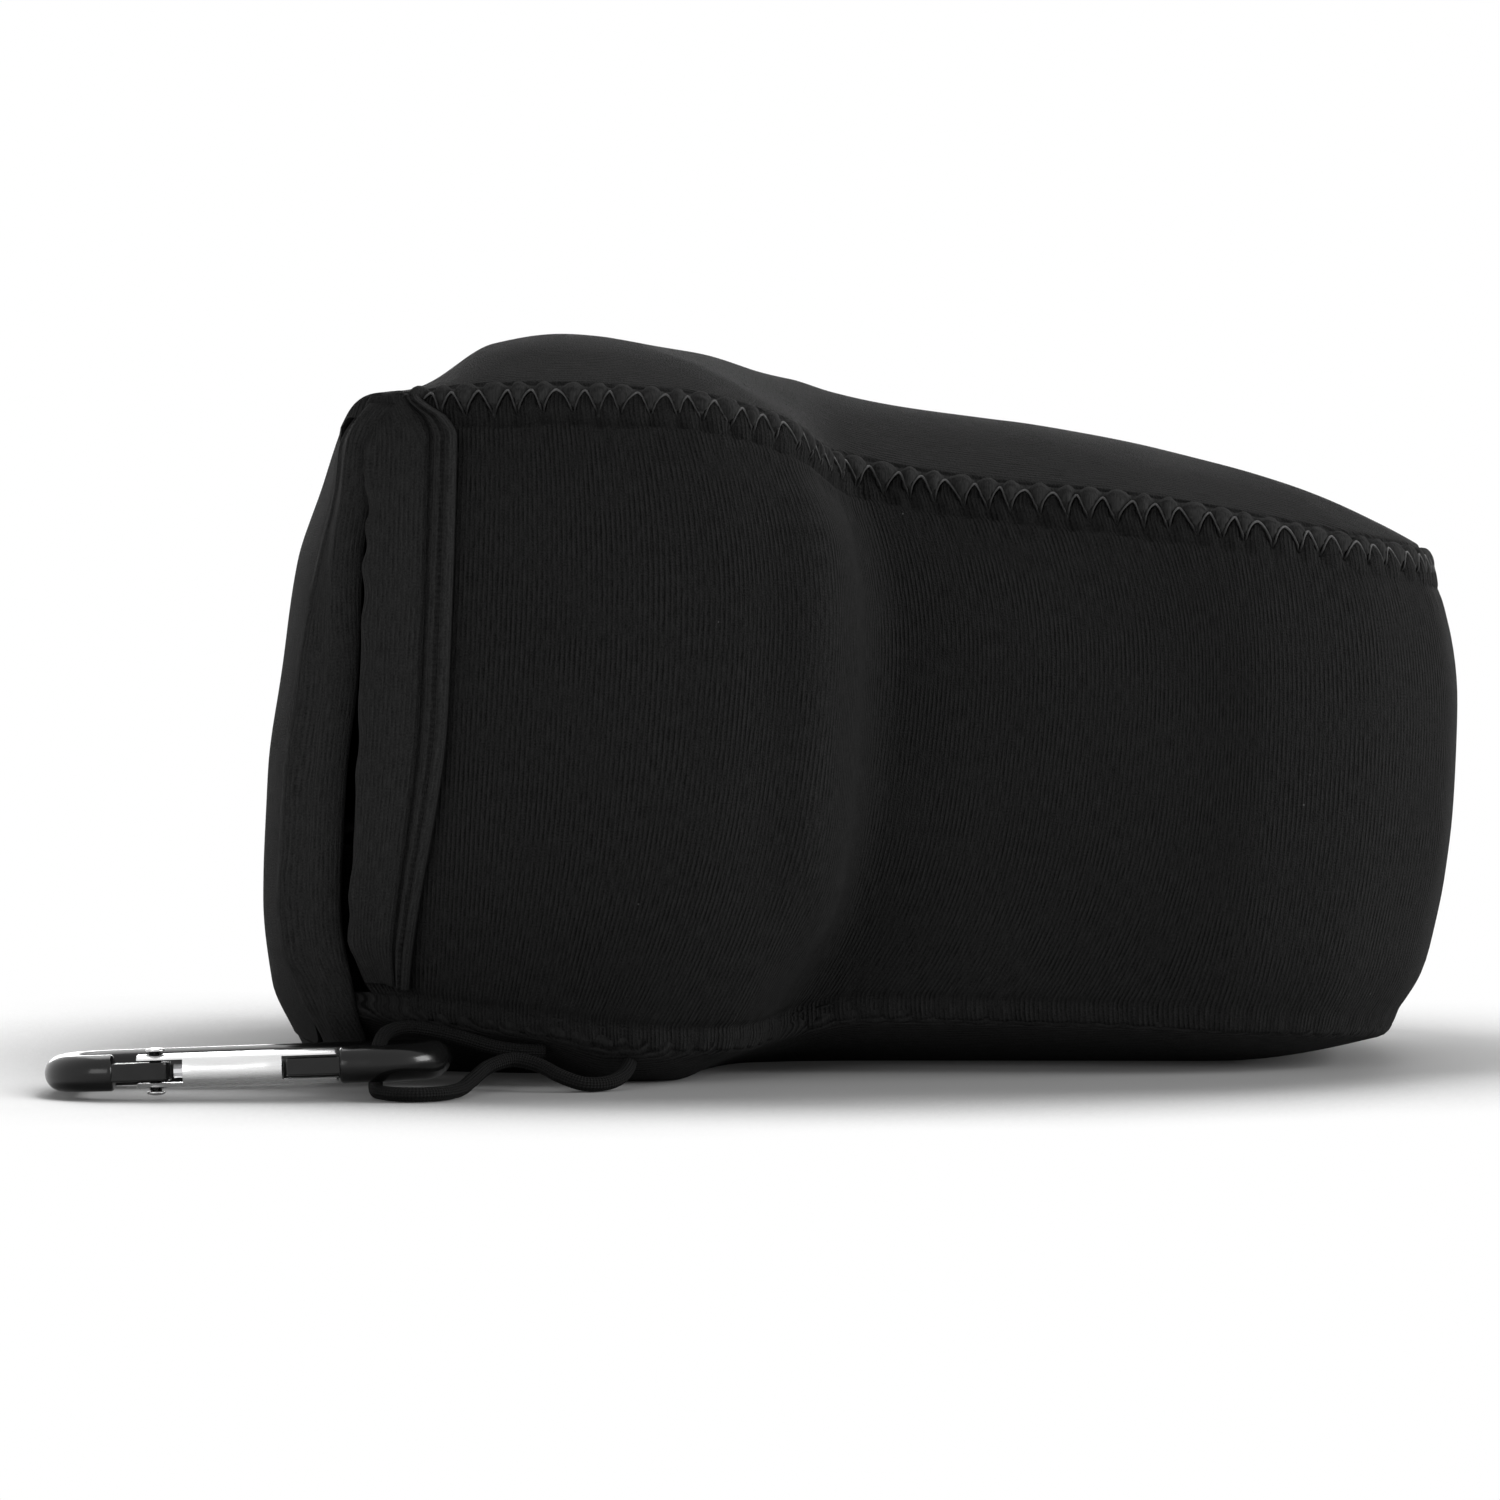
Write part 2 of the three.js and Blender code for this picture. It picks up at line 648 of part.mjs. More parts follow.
function closureStrip(nearDepth) {
  const face = (depth) => Array.from({ length: 5 }, (_, i) => Array.from({ length: 13 }, (_, j) => {
    const y = lerp(-stripHalfWidth, stripHalfWidth, j / 12);
    const z = stripBottom + (stripHeight * i) / 4;
    return new THREE.Vector3(flapX(y, z) + depth, y, z);
  }));
  return sheetSolid(face(nearDepth), face(nearDepth + stripThickness));
}

function ring(radius, sides, phase = 0) {
  return Array.from({ length: sides }, (_, i) => {
    const angle = phase + (2 * Math.PI * i) / sides;
    return new THREE.Vector2(radius * Math.cos(angle), radius * Math.sin(angle));
  });
}

function tube(curve, radius, sides, steps) {
  const section = new THREE.Shape(ring(radius, sides, Math.PI / sides));
  return new THREE.ExtrudeGeometry(section, { steps, bevelEnabled: false, extrudePath: curve });
}

// A flat plate or a round bar along z, centred on z = 0
function plate(shape, thickness) {
  const settings = { depth: thickness, bevelEnabled: false, curveSegments: 6 };
  return new THREE.ExtrudeGeometry(shape, settings).translate(0, 0, -thickness / 2);
}

function solid(geometry) {
  const bare = geometry.clone();
  bare.deleteAttribute('normal');
  bare.deleteAttribute('uv');
  const merged = mergeVertices(bare, 1e-5);
  return new wasm.Manifold(new wasm.Mesh({
    numProp: 3,
    vertProperties: new Float32Array(merged.attributes.position.array),
    triVerts: new Uint32Array(merged.index.array),
  }));
}

function geometryOf(manifold) {
  const { vertProperties, triVerts } = manifold.getMesh();
  const geometry = new THREE.BufferGeometry();
  geometry.setAttribute('position', new THREE.BufferAttribute(vertProperties, 3));
  geometry.setIndex(new THREE.BufferAttribute(triVerts, 1));
  return geometry;
}

const barRadius = barDiameter / 2;
const halfLength = (carabinerLength - barDiameter) / 2;
const halfWidth = (carabinerWidth - barDiameter) / 2;
const gateY = -halfWidth;
const gateRadius = gateDiameter / 2;
const gateSlot = tongueThickness + 2 * gateSlotClear;
const gateStart = hingeX - tongueRadius - clear;
const barHingeEnd = gateStart - 2.9;
const gateEnd = hingeX + 22.8;
const barNoseEnd = gateEnd + gateRunningGap;
const hingeSlotEnd = hingeX + tongueRadius + 1.5;
const noseTongueTip = barNoseEnd - noseTongueLength;
const noseSlotStart = noseTongueTip - 0.5;
const plungerTip = hingeX + tongueRadius + clear;
const springStart = plungerTip + plungerLength + clear + springWire / 2;
const boreRadius = springCoilRadius + springWire / 2 + clear;
const boreEnd = springStart + springLength + springWire / 2 + clear;

// The bent bar runs from the hinge end round the ring to the nose
function carabinerBody() {
  const x = halfLength - carabinerCornerRadius;
  const y = halfWidth - carabinerCornerRadius;
  const r = carabinerCornerRadius;
  const path = new THREE.Path();
  path.moveTo(barHingeEnd, gateY);
  path.lineTo(-x, gateY);
  path.absarc(-x, -y, r, -Math.PI / 2, -Math.PI, true);
  path.lineTo(-halfLength, y);
  path.absarc(-x, y, r, Math.PI, Math.PI / 2, true);
  path.lineTo(x, halfWidth);
  path.absarc(x, y, r, Math.PI / 2, 0, true);
  path.lineTo(halfLength, -y);
  path.absarc(x, -y, r, 0, -Math.PI / 2, true);
  path.lineTo(barNoseEnd, gateY);
  const route = path.getSpacedPoints(90).map((p) => new THREE.Vector3(p.x, p.y, 0));
  const bar = solid(tube(new THREE.CatmullRomCurve3(route), barRadius, 12, 46));

  const hinge = new THREE.Shape();
  hinge.moveTo(barHingeEnd - 1, gateY + tongueRadius);
  hinge.lineTo(barHingeEnd - 1, gateY - tongueRadius);
  hinge.lineTo(hingeX, gateY - tongueRadius);
  hinge.absarc(hingeX, gateY, tongueRadius, -Math.PI / 2, Math.PI / 2, false);
  hinge.closePath();
  const rivetHole = ring(rivetRadius + clear, 12).map((p) => p.add({ x: hingeX, y: gateY }));
  hinge.holes.push(new THREE.Path(rivetHole.reverse()));

  const nose = new THREE.Shape([
    new THREE.Vector2(barNoseEnd + 1, gateY - noseTongueHeight / 2),
    new THREE.Vector2(barNoseEnd + 1, gateY + noseTongueHeight / 2),
    new THREE.Vector2(noseTongueTip + 1, gateY + noseTongueHeight / 2),
    new THREE.Vector2(noseTongueTip, gateY + noseTongueHeight / 4),
    new THREE.Vector2(noseTongueTip, gateY - noseTongueHeight / 2),
  ]);
  return geometryOf(bar.add(solid(plate(hinge, tongueThickness))).add(solid(plate(nose, tongueThickness))));
}

function cylinderAlongX(radius, start, end, sides) {
  const geometry = new THREE.CylinderGeometry(radius, radius, end - start, sides);
  return geometry.rotateZ(Math.PI / 2).translate((start + end) / 2, gateY, 0);
}

function slotCutter(start, end) {
  const cutter = new THREE.BoxGeometry(end - start, gateDiameter + 2, gateSlot);
  return solid(cutter.translate((start + end) / 2, gateY, 0));
}

function carabinerGate() {
  const holeRadius = rivetRadius + clear;
  const rivetHole = new THREE.CylinderGeometry(holeRadius, holeRadius, gateDiameter + 2, 12);
  rivetHole.rotateX(Math.PI / 2).translate(hingeX, gateY, 0);
  const gate = solid(cylinderAlongX(gateRadius, gateStart, gateEnd, 20))
    .subtract(slotCutter(gateStart - 1, hingeSlotEnd))
    .subtract(slotCutter(noseSlotStart, gateEnd + 1))
    .subtract(solid(cylinderAlongX(boreRadius, hingeSlotEnd - 1, boreEnd, 12)))
    .subtract(solid(rivetHole));
  return geometryOf(gate);
}

function gateRivet() {
  const seat = gateRadius + clear;
  const top = seat + rivetHeadThickness;
  const profile = [
    [0, -top],
    [rivetHeadRadius * 0.6, -top],
    [rivetHeadRadius, -seat - rivetHeadThickness * 0.3],
    [rivetHeadRadius, -seat],
    [rivetRadius, -seat],
    [rivetRadius, seat],
    [rivetHeadRadius, seat],
    [rivetHeadRadius, seat + rivetHeadThickness * 0.3],
    [rivetHeadRadius * 0.6, top],
    [0, top],
  ].map(([r, z]) => new THREE.Vector2(r, z));
  const geometry = new THREE.LatheGeometry(profile, 12).rotateX(Math.PI / 2).translate(hingeX, gateY, 0);
  return geometryOf(solid(geometry));
}

function gateSpring() {
  const stepsPerTurn = 6;
  const steps = springTurns * stepsPerTurn;
  const turns = Array.from({ length: steps + 1 }, (_, i) => {
    const angle = (i / stepsPerTurn) * 2 * Math.PI;
    const along = springStart + (springLength * i) / steps;
    const across = springCoilRadius * Math.cos(angle);
    return new THREE.Vector3(along, gateY + across, springCoilRadius * Math.sin(angle));
  });
  return tube(new THREE.CatmullRomCurve3(turns), springWire / 2, 5, steps);
}

function gatePlunger() {
  return cylinderAlongX(plungerRadius, plungerTip, plungerTip + plungerLength, 10);
}

function cordLoop() {
  const points = cordPoints.map(([x, y, z]) => new THREE.Vector3(x, y, z));
  const route = new THREE.CatmullRomCurve3(points, false, 'centripetal');
  return tube(route, cordDiameter / 2, 8, 44);
}

function mesh(name, geometry, material) {
  const piece = new THREE.Mesh(geometry, material);
  piece.name = name;
  return piece;
}

const carabiner = new THREE.Group();
carabiner.position.copy(carabinerPlace);
carabiner.rotation.set(-carabinerRoll, -carabinerPitch, 0);
carabiner.add(
  mesh('carabiner_body', carabinerBody(), looks.blackMetal),
  mesh('carabiner_gate', carabinerGate(), looks.aluminium),
  mesh('gate_rivet', gateRivet(), looks.steel),
  mesh('gate_spring', gateSpring(), looks.steel),
  mesh('gate_plunger', gatePlunger(), looks.steel),
);

const nearBinding = edgeBinding();
const cameraCase = new THREE.Group();
cameraCase.add(
  mesh('side_band', sideBand(), looks.neoprene),
  mesh('top_panel', topPanel(), looks.neoprene),
  mesh('bottom_panel', bottomPanel(), looks.neoprene),
  mesh('near_edge_binding', nearBinding, looks.knit),
  mesh('far_edge_binding', mirrored(nearBinding), looks.knit),
  mesh('lip_binding', lipBinding(), looks.knit),
  mesh('lip_loop_strip', closureStrip(loopFace), looks.closure),
  mesh('flap_cover', flapLayer({
    sideInset: coverSideInset, bottomInset: coverBottomInset, top: flapTop,
    nearDepth: 0, farDepth: coverThickness,
  }), looks.neoprene),
  mesh('rear_flap', flapLayer({
    sideInset: 2 * clear + flapBindingThickness, bottomInset: 2 * clear + flapBindingThickness,
    top: flapCoreTop, nearDepth: coreFace, farDepth: coreBack,
  }), looks.neoprene),
  mesh('flap_edge_binding', flapEdgeBinding(), looks.knit),
  mesh('flap_hook_strip', closureStrip(hookFace), looks.closure),
  mesh('cord_loop', cordLoop(), looks.cord),
  carabiner,
);

export default cameraCase;
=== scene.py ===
# Camera case: a soft neoprene pouch with a rear flap and a small carabiner on a cord loop.
# Lengths are in millimetres here and become metres when a mesh is made.
# +X runs towards the lens end, +Z is up, and the carabiner is on the -Y side.

import math

import bmesh
import bpy
import numpy as np
from mathutils import Matrix, Vector, noise


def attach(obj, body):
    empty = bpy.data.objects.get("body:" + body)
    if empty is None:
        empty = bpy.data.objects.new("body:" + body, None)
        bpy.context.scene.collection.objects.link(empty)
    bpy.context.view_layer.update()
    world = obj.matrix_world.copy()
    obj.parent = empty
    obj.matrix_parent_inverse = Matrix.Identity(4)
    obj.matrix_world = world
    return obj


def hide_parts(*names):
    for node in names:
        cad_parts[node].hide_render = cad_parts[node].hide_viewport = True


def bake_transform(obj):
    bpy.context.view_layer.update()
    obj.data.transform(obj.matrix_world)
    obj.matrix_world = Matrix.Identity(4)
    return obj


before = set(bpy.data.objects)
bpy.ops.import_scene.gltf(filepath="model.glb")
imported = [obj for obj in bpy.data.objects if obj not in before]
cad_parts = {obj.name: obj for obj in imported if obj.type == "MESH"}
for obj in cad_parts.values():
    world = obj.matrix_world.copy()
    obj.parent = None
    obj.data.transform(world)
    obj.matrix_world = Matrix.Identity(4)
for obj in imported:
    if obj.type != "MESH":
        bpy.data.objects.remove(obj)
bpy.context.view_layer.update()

MM = 0.001

# Sizes of the case, as the CAD source has them
CASE_HALF_LENGTH = 80.1
FRONT_X = CASE_HALF_LENGTH - 0.4
SHOULDER_X = -1.6
SHOULDER_RIDGE = 1.8
SHOULDER_RIDGE_X = SHOULDER_X - 5.0
SHOULDER_RIDGE_WIDTH = 4.0
REAR_X = -63.2
BODY_HALF_WIDTH = 67.0
LENS_HALF_WIDTH = 44.3
FRONT_CORNER_RADIUS = 28.0
REAR_TAPER = 5.6
WALL = 3.0
CLEAR = 0.3
BODY_SEAM_INSET = 7.4
LENS_SEAM_INSET = 4.6
TOP_FRONT_INSET = 2.7
BOTTOM_FRONT_INSET = 7.2
BOTTOM_SHOULDER_INSET = 10.5
TOP_SEAM_REAR = 87.0
TOP_SEAM_BODY = 87.7
TOP_SEAM_SHOULDER = 79.2
TOP_SEAM_LENS = 73.4
TOP_SEAM_FRONT = 65.6
RIDGE_OVER_BODY = 7.5
RIDGE_OVER_LENS = 9.0
CROWN_REACH = 40.0
BOTTOM_SEAM_REAR = 11.4
BOTTOM_SEAM_BODY = 6.3
BOTTOM_SEAM_LENS = 9.2
BOTTOM_SEAM_FRONT = 5.8
BOTTOM_REACH = 26.0
BULGE_POWER = 2.6
FLAP_HALF_WIDTH = 56.0
FLAP_CORE_TOP = 83.6
FLAP_FLOOR_GAP = 0.6
FLAP_CORNER_RADIUS = 15.0
FLAP_BOW = 9.0
FLAP_BOW_POWER = 2.2
COVER_THICKNESS = 1.1
CORE_THICKNESS = 1.8
FLAP_BINDING_SKIN = 0.9
COVER_SIDE_INSET = 7.5
COVER_BOTTOM_INSET = 3.6
FLAP_ROLL = 2.6
FLAP_ROLL_FADES = 50
FLAP_ROLL_ENDS = 72
FLAP_BINDING_RISE = 3.6
FLAP_BINDING_WIDENS = 0.9
FLAP_BINDING_LAP = 0.35
FLAP_CURL = 0.085
FLAP_CURL_STARTS = 80.8
STRIP_THICKNESS = 1.0
STRIP_HALF_WIDTH = 38.0
STRIP_BOTTOM = 10.0
STRIP_HEIGHT = 12.0
LIP_HEIGHT = 29.0
LIP_HALF_WIDTH = 46.0
LIP_THICKNESS = 2.4
LIP_BINDING_LEG = 5.2
BINDING_SKIN = 1.2
BINDING_OUTER_LEG = 10.6
BINDING_INNER_LEG = 7.0
BINDING_FOOT_SHARE = 0.72
WELT_WIDTH = 2.5
WELT_RISE = 1.0
WELT_GROOVE_DEPTH = 0.85
WELT_STITCH_DEPTH = 0.16
WELT_STITCH_PITCH = 0.85

# Seam stitches: a row of arches, each from foot to foot one pitch wide
STITCH_PITCH = 3.38
ARCH_HEIGHT = 3.3
ARCH_TOP = -1.5
ARCH_STRAIGHT = 0.22
ARCH_POWER = 2.2
SEAM_DROP = 1.0
THREAD_RADIUS = 0.15
THREAD_START = 5.2
THREAD_STEP = 0.16
THREAD_LIFT = 0.34
THREAD_SINK = 1.1

# Relief of the cloth along the seams
FRONT_STARTS = 75
FRONT_FULL = 50
FOOT_PULL = 3.0
TUCK_DEPTH = 1.0
LOW_TUCK_DEPTH = 0.5
SWELL_HEIGHT = 0.5
GROOVE_DEPTH = 0.5
LEDGE_HEIGHT = 0.25
GATHER_HEIGHT = 0.07
LOW_GATHER_HEIGHT = 0.2
UNDER_GATHER_HEIGHT = 0.08
CREASE_DEPTH = 0.5
FRONT_FULLNESS = 0.7
PUFF_HEIGHT = 1.15
NOTCH_DEPTH = 0.6
FOLD_DEPTH = 0.3

# Cord loop, point by point as the CAD source has it
CORD_DIAMETER = 1.9
BRAID_PITCH = 0.75
CORD_POINTS = [
    (-41.0, -57.0, 4.6),
    (-44.2, -57.3, 4.7),
    (-47.5, -57.5, 5.2),
    (-51.0, -57.5, 6.2),
    (-54.6, -57.5, 7.1),
    (-58.4, -58.3, 7.7),
    (-61.0, -60.8, 7.25),
    (-61.9, -63.8, 5.7),
    (-62.0, -66.3, 3.7),
    (-62.0, -69.2, 1.75),
    (-61.8, -72.4, 1.03),
    (-61.2, -75.9, 1.0),
    (-59.4, -78.8, 1.0),
    (-56.4, -79.8, 1.0),
    (-53.6, -78.2, 1.0),
    (-52.0, -75.0, 1.0),
    (-51.0, -71.4, 1.1),
    (-49.8, -67.6, 1.9),
    (-47.9, -64.0, 3.2),
    (-45.0, -61.9, 3.9),
    (-41.8, -62.3, 3.3),
    (-38.8, -64.2, 2.0),
    (-35.8, -65.0, 1.1),
    (-33.0, -63.8, 1.1),
    (-31.2, -61.2, 1.7),
    (-30.4, -58.6, 2.6),
    (-30.2, -56.8, 3.1),
]

# Camera, as the photograph was taken
CAMERA_PLACE = (-14.85, -1000.0, 80.0)
CAMERA_PITCH = 2.243
CAMERA_LENS = 177.8
SENSOR_WIDTH = 36.0
VIEW_END = 20.0


# Curves and forms

def through(points):
    """A smooth monotone curve through a few chosen points, read by their first value."""
    xs = np.array([p[0] for p in points], float)
    ys = np.array([p[1] for p in points], float)
    steps = np.diff(ys) / np.diff(xs)
    slopes = np.empty(len(xs))
    slopes[0] = steps[0]
    slopes[-1] = steps[-1]
    for i in range(1, len(xs) - 1):
        left, right = steps[i - 1], steps[i]
        slopes[i] = 2 * left * right / (left + right) if left * right > 0 else 0.0

    def value(x):
        x = np.clip(np.asarray(x, float), xs[0], xs[-1])
        i = np.clip(np.searchsorted(xs, x, side="right") - 1, 0, len(xs) - 2)
        span = xs[i + 1] - xs[i]
        t = (x - xs[i]) / span
        rise = (2 * t**3 - 3 * t**2 + 1) * ys[i] + (3 * t**2 - 2 * t**3) * ys[i + 1]
        lean = (t**3 - 2 * t**2 + t) * slopes[i] + (t**3 - t**2) * slopes[i + 1]
        return rise + lean * span

    return value


def smoothstep(x, low, high):
    t = np.clip((np.asarray(x, float) - low) / (high - low), 0, 1)
    return t * t * (3 - 2 * t)


def hump(x, middle, width):
    """A smooth swelling of height 1."""
    return np.exp(-((x - middle) / width) ** 2)


def lerp(a, b, t):
    return a + (b - a) * t


def unit(v):
    return v / np.linalg.norm(v, axis=-1, keepdims=True)


def cubic(p0, p1, p2, p3, q):
    """The cubic curve with these four control points, at shares q."""
    return (1 - q) ** 3 * p0 + 3 * q * (1 - q) ** 2 * p1 + 3 * q**2 * (1 - q) * p2 + q**3 * p3


def reach_along(line):
    """How far along a line each of its points lies."""
    return np.concatenate([[0], np.cumsum(np.linalg.norm(np.diff(line, axis=0), axis=1))])


def level_line(start, end, count, level):
    """Even points from start to end, all at one level."""
    return np.column_stack([np.linspace(start, end, count), np.full(count, level)])


def arc(center, radii, start, end, count):
    angles = np.radians(np.linspace(start, end, count))
    return np.column_stack([center[0] + radii[0] * np.cos(angles), center[1] + radii[1] * np.sin(angles)])


def spline(points, tension=0.4):
    """A Catmull-Rom curve in plan, evaluated at an array of t from 0 to 1."""
    points = np.array(points, float)
    before = 2 * points[0] - points[1]
    after = 2 * points[-1] - points[-2]
    padded = np.vstack([before, points, after])
    spans = len(points) - 1

    def value(t):
        t = np.asarray(t, float)
        p = np.clip(t, 0, 1) * spans
        i = np.clip(np.floor(p).astype(int), 0, spans - 1)
        w = (p - i)[..., None]
        p0, p1, p2, p3 = padded[i], padded[i + 1], padded[i + 2], padded[i + 3]
        t0 = tension * (p2 - p0)
        t1 = tension * (p3 - p1)
        return (
            p1 + t0 * w + (-3 * p1 + 3 * p2 - 2 * t0 - t1) * w**2
            + (2 * p1 - 2 * p2 + t0 + t1) * w**3
        )

    return value


def plan_outline(rear, half, shoulder, lens_half, front, corner):
    """The near side of the band in plan, from its rear edge to the middle of the lens end."""
    points = [
        (rear, half - REAR_TAPER),
        (rear + 11.5, half - REAR_TAPER * 0.36),
        ((rear + shoulder) / 2, half),
        (shoulder - 15.5, half - 0.4),
        (shoulder - 5.4, half - 4.2),
        (shoulder - 1.0, half - 9.8),
        (shoulder + 0.8, lens_half + 5.4),
        (shoulder + 3.4, lens_half + 1.4),
        (shoulder + 9.5, lens_half + 0.1),
        ((shoulder + front) / 2, lens_half),
        (front - corner, lens_half),
    ]
    for angle in (30, 60, 90):
        turn = math.radians(angle)
        bow = 0.7 if angle == 90 else 0.0
        across = lens_half - corner + corner * math.cos(turn)
        points.append((front - corner + corner * math.sin(turn) - bow, across))
    points.append((front, 0))
    return spline([(x, -w) for x, w in points])


bulge_outline = plan_outline(
    REAR_X, BODY_HALF_WIDTH, SHOULDER_X, LENS_HALF_WIDTH, FRONT_X, FRONT_CORNER_RADIUS
)
top_outline = plan_outline(
    REAR_X + 0.9, BODY_HALF_WIDTH - BODY_SEAM_INSET, SHOULDER_X - 3.2,
    LENS_HALF_WIDTH - LENS_SEAM_INSET, FRONT_X - TOP_FRONT_INSET, FRONT_CORNER_RADIUS - 2,
)
bottom_outline = plan_outline(
    REAR_X - 2.3, BODY_HALF_WIDTH - BODY_SEAM_INSET + 0.4, SHOULDER_X - BOTTOM_SHOULDER_INSET,
    LENS_HALF_WIDTH - LENS_SEAM_INSET - 0.3, FRONT_X - BOTTOM_FRONT_INSET,
    FRONT_CORNER_RADIUS - 3,
)
OUTLINE_SPANS = 14

top_seam_z = through([
    (REAR_X - 2.8, TOP_SEAM_REAR),
    (SHOULDER_X - 40, TOP_SEAM_BODY),
    (SHOULDER_X - 22, TOP_SEAM_BODY - 0.7),
    (SHOULDER_X - 8, TOP_SEAM_BODY - 4.4),
    (SHOULDER_X - 2.4, TOP_SEAM_SHOULDER),
    (SHOULDER_X + 18, TOP_SEAM_SHOULDER - 3.8),
    (SHOULDER_X + 37, TOP_SEAM_LENS),
    (FRONT_X - TOP_FRONT_INSET, TOP_SEAM_FRONT),
])
ridge_rise = through([
    (REAR_X - 5, 0.2),
    (REAR_X + 3.5, 0.6),
    (REAR_X + 14.5, RIDGE_OVER_BODY - 1.1),
    (REAR_X + 24, RIDGE_OVER_BODY),
    (REAR_X + 42, RIDGE_OVER_BODY - 1.6),
    (SHOULDER_X - 13.4, RIDGE_OVER_BODY - 2.0),
    (SHOULDER_X - 8, RIDGE_OVER_LENS - 2.9),
    (SHOULDER_X - 2.4, RIDGE_OVER_LENS - 0.6),
    (SHOULDER_X + 21, RIDGE_OVER_LENS - 0.3),
    (FRONT_X - 34, RIDGE_OVER_LENS - 2.0),
    (FRONT_X - 14, RIDGE_OVER_LENS - 0.8),
    (FRONT_X, RIDGE_OVER_LENS + 1),
])
bottom_seam_z = through([
    (REAR_X, BOTTOM_SEAM_REAR),
    (REAR_X + 30, (BOTTOM_SEAM_REAR + BOTTOM_SEAM_BODY) / 2 - 1.2),
    (SHOULDER_X - 14, BOTTOM_SEAM_BODY),
    (SHOULDER_X + 2, BOTTOM_SEAM_LENS),
    (SHOULDER_X + 30, BOTTOM_SEAM_LENS - 0.6),
    (FRONT_X - BOTTOM_FRONT_INSET, BOTTOM_SEAM_FRONT),
])


def seam_distance(outline):
    """Distance in plan from points to a seam outline, near or far side."""
    line = outline(np.linspace(0, 1, OUTLINE_SPANS * 8 + 1))
    start, end = line[:-1], line[1:]
    along = end - start
    size = (along**2).sum(1)

    def value(x, y):
        target = np.stack([np.ravel(x), -np.abs(np.ravel(y))], 1)
        best = np.full(len(target), np.inf)
        for a, d, n in zip(start, along, size):
            share = np.clip(((target - a) @ d) / n, 0, 1)[:, None]
            best = np.minimum(best, np.linalg.norm(a + share * d - target, axis=1))
        return best.reshape(np.shape(x))

    return value


from_top_seam = seam_distance(top_outline)
from_bottom_seam = seam_distance(bottom_outline)


def top_z(x, y):
    """Outer face of the top panel."""
    rise = 1 - (1 - np.clip(from_top_seam(x, y) / CROWN_REACH, 0, 1)) ** 2
    return top_seam_z(x) + WALL / 2 + ridge_rise(x) * rise


def bottom_z(x, y):
    """Outer face of the bottom panel, flat in its middle; it sags near the shoulder."""
    sag = smoothstep(x, -43, -33) * (1 - smoothstep(x, -26, -15))
    reach = lerp(BOTTOM_REACH, 12.0, sag)
    lift = (1 - np.clip(from_bottom_seam(x, y) / reach, 0, 1)) ** 2
    return (bottom_seam_z(x) - WALL / 2) * lift


def band_point(t, v):
    """Outer face of the band; t runs to the middle of the lens end, v from bottom to top."""
    t, v = np.broadcast_arrays(np.asarray(t, float), np.asarray(v, float))
    bottom = bottom_outline(t)
    top = top_outline(t)
    bulge = bulge_outline(t)
    low = bottom_seam_z(bottom[..., 0]) + WALL / 2 + CLEAR
    high = top_seam_z(top[..., 0]) - WALL / 2 - CLEAR
    level = bottom + (top - bottom) * v[..., None]
    fullness = 1 - np.abs(2 * v - 1) ** BULGE_POWER
    level = level + (bulge - (bottom + top) / 2) * fullness[..., None]
    return np.concatenate([level, lerp(low, high, v)[..., None]], axis=-1)


def band_normal(t, v):
    """Outward direction of the band, level with the floor."""
    step = 0.004
    behind = band_point(np.maximum(t - step, 0), v)
    ahead = band_point(np.minimum(t + step, 1), v)
    along = ahead - behind
    return unit(np.stack([along[..., 1], -along[..., 0], np.zeros(along.shape[:-1])], axis=-1))


flap_middle_x = through([
    (0, -CASE_HALF_LENGTH + 6.2),
    (1.8, -CASE_HALF_LENGTH + 5.0),
    (4.2, -CASE_HALF_LENGTH + 3.9),
    (10.6, -CASE_HALF_LENGTH + 1.1),
    (22, -CASE_HALF_LENGTH),
    (38, -CASE_HALF_LENGTH + 0.7),
    (53.4, -CASE_HALF_LENGTH + 2.6),
    (66.4, -CASE_HALF_LENGTH + 4.6),
    (76.8, -CASE_HALF_LENGTH + 8.4),
    (82.4, -CASE_HALF_LENGTH + 10.4),
    (87.2, -CASE_HALF_LENGTH + 12.7),
])
flap_side_bow = through([
    (0, FLAP_BOW * 1.2),
    (10, FLAP_BOW * 1.12),
    (24, FLAP_BOW),
    (48, FLAP_BOW),
    (62, FLAP_BOW * 0.88),
    (74, FLAP_BOW * 0.62),
    (82.5, FLAP_BOW * 0.34),
    (88, 0),
])

CORE_FACE = COVER_THICKNESS + CLEAR
CORE_BACK = CORE_FACE + CORE_THICKNESS
HOOK_FACE = CORE_BACK + CLEAR
LOOP_FACE = HOOK_FACE + STRIP_THICKNESS + CLEAR
LIP_FACE = LOOP_FACE + STRIP_THICKNESS + CLEAR


def flap_x(y, z):
    """Outer face of the flap."""
    return flap_middle_x(z) + flap_side_bow(z) * np.abs(np.asarray(y) / FLAP_HALF_WIDTH) ** FLAP_BOW_POWER


# Meshes

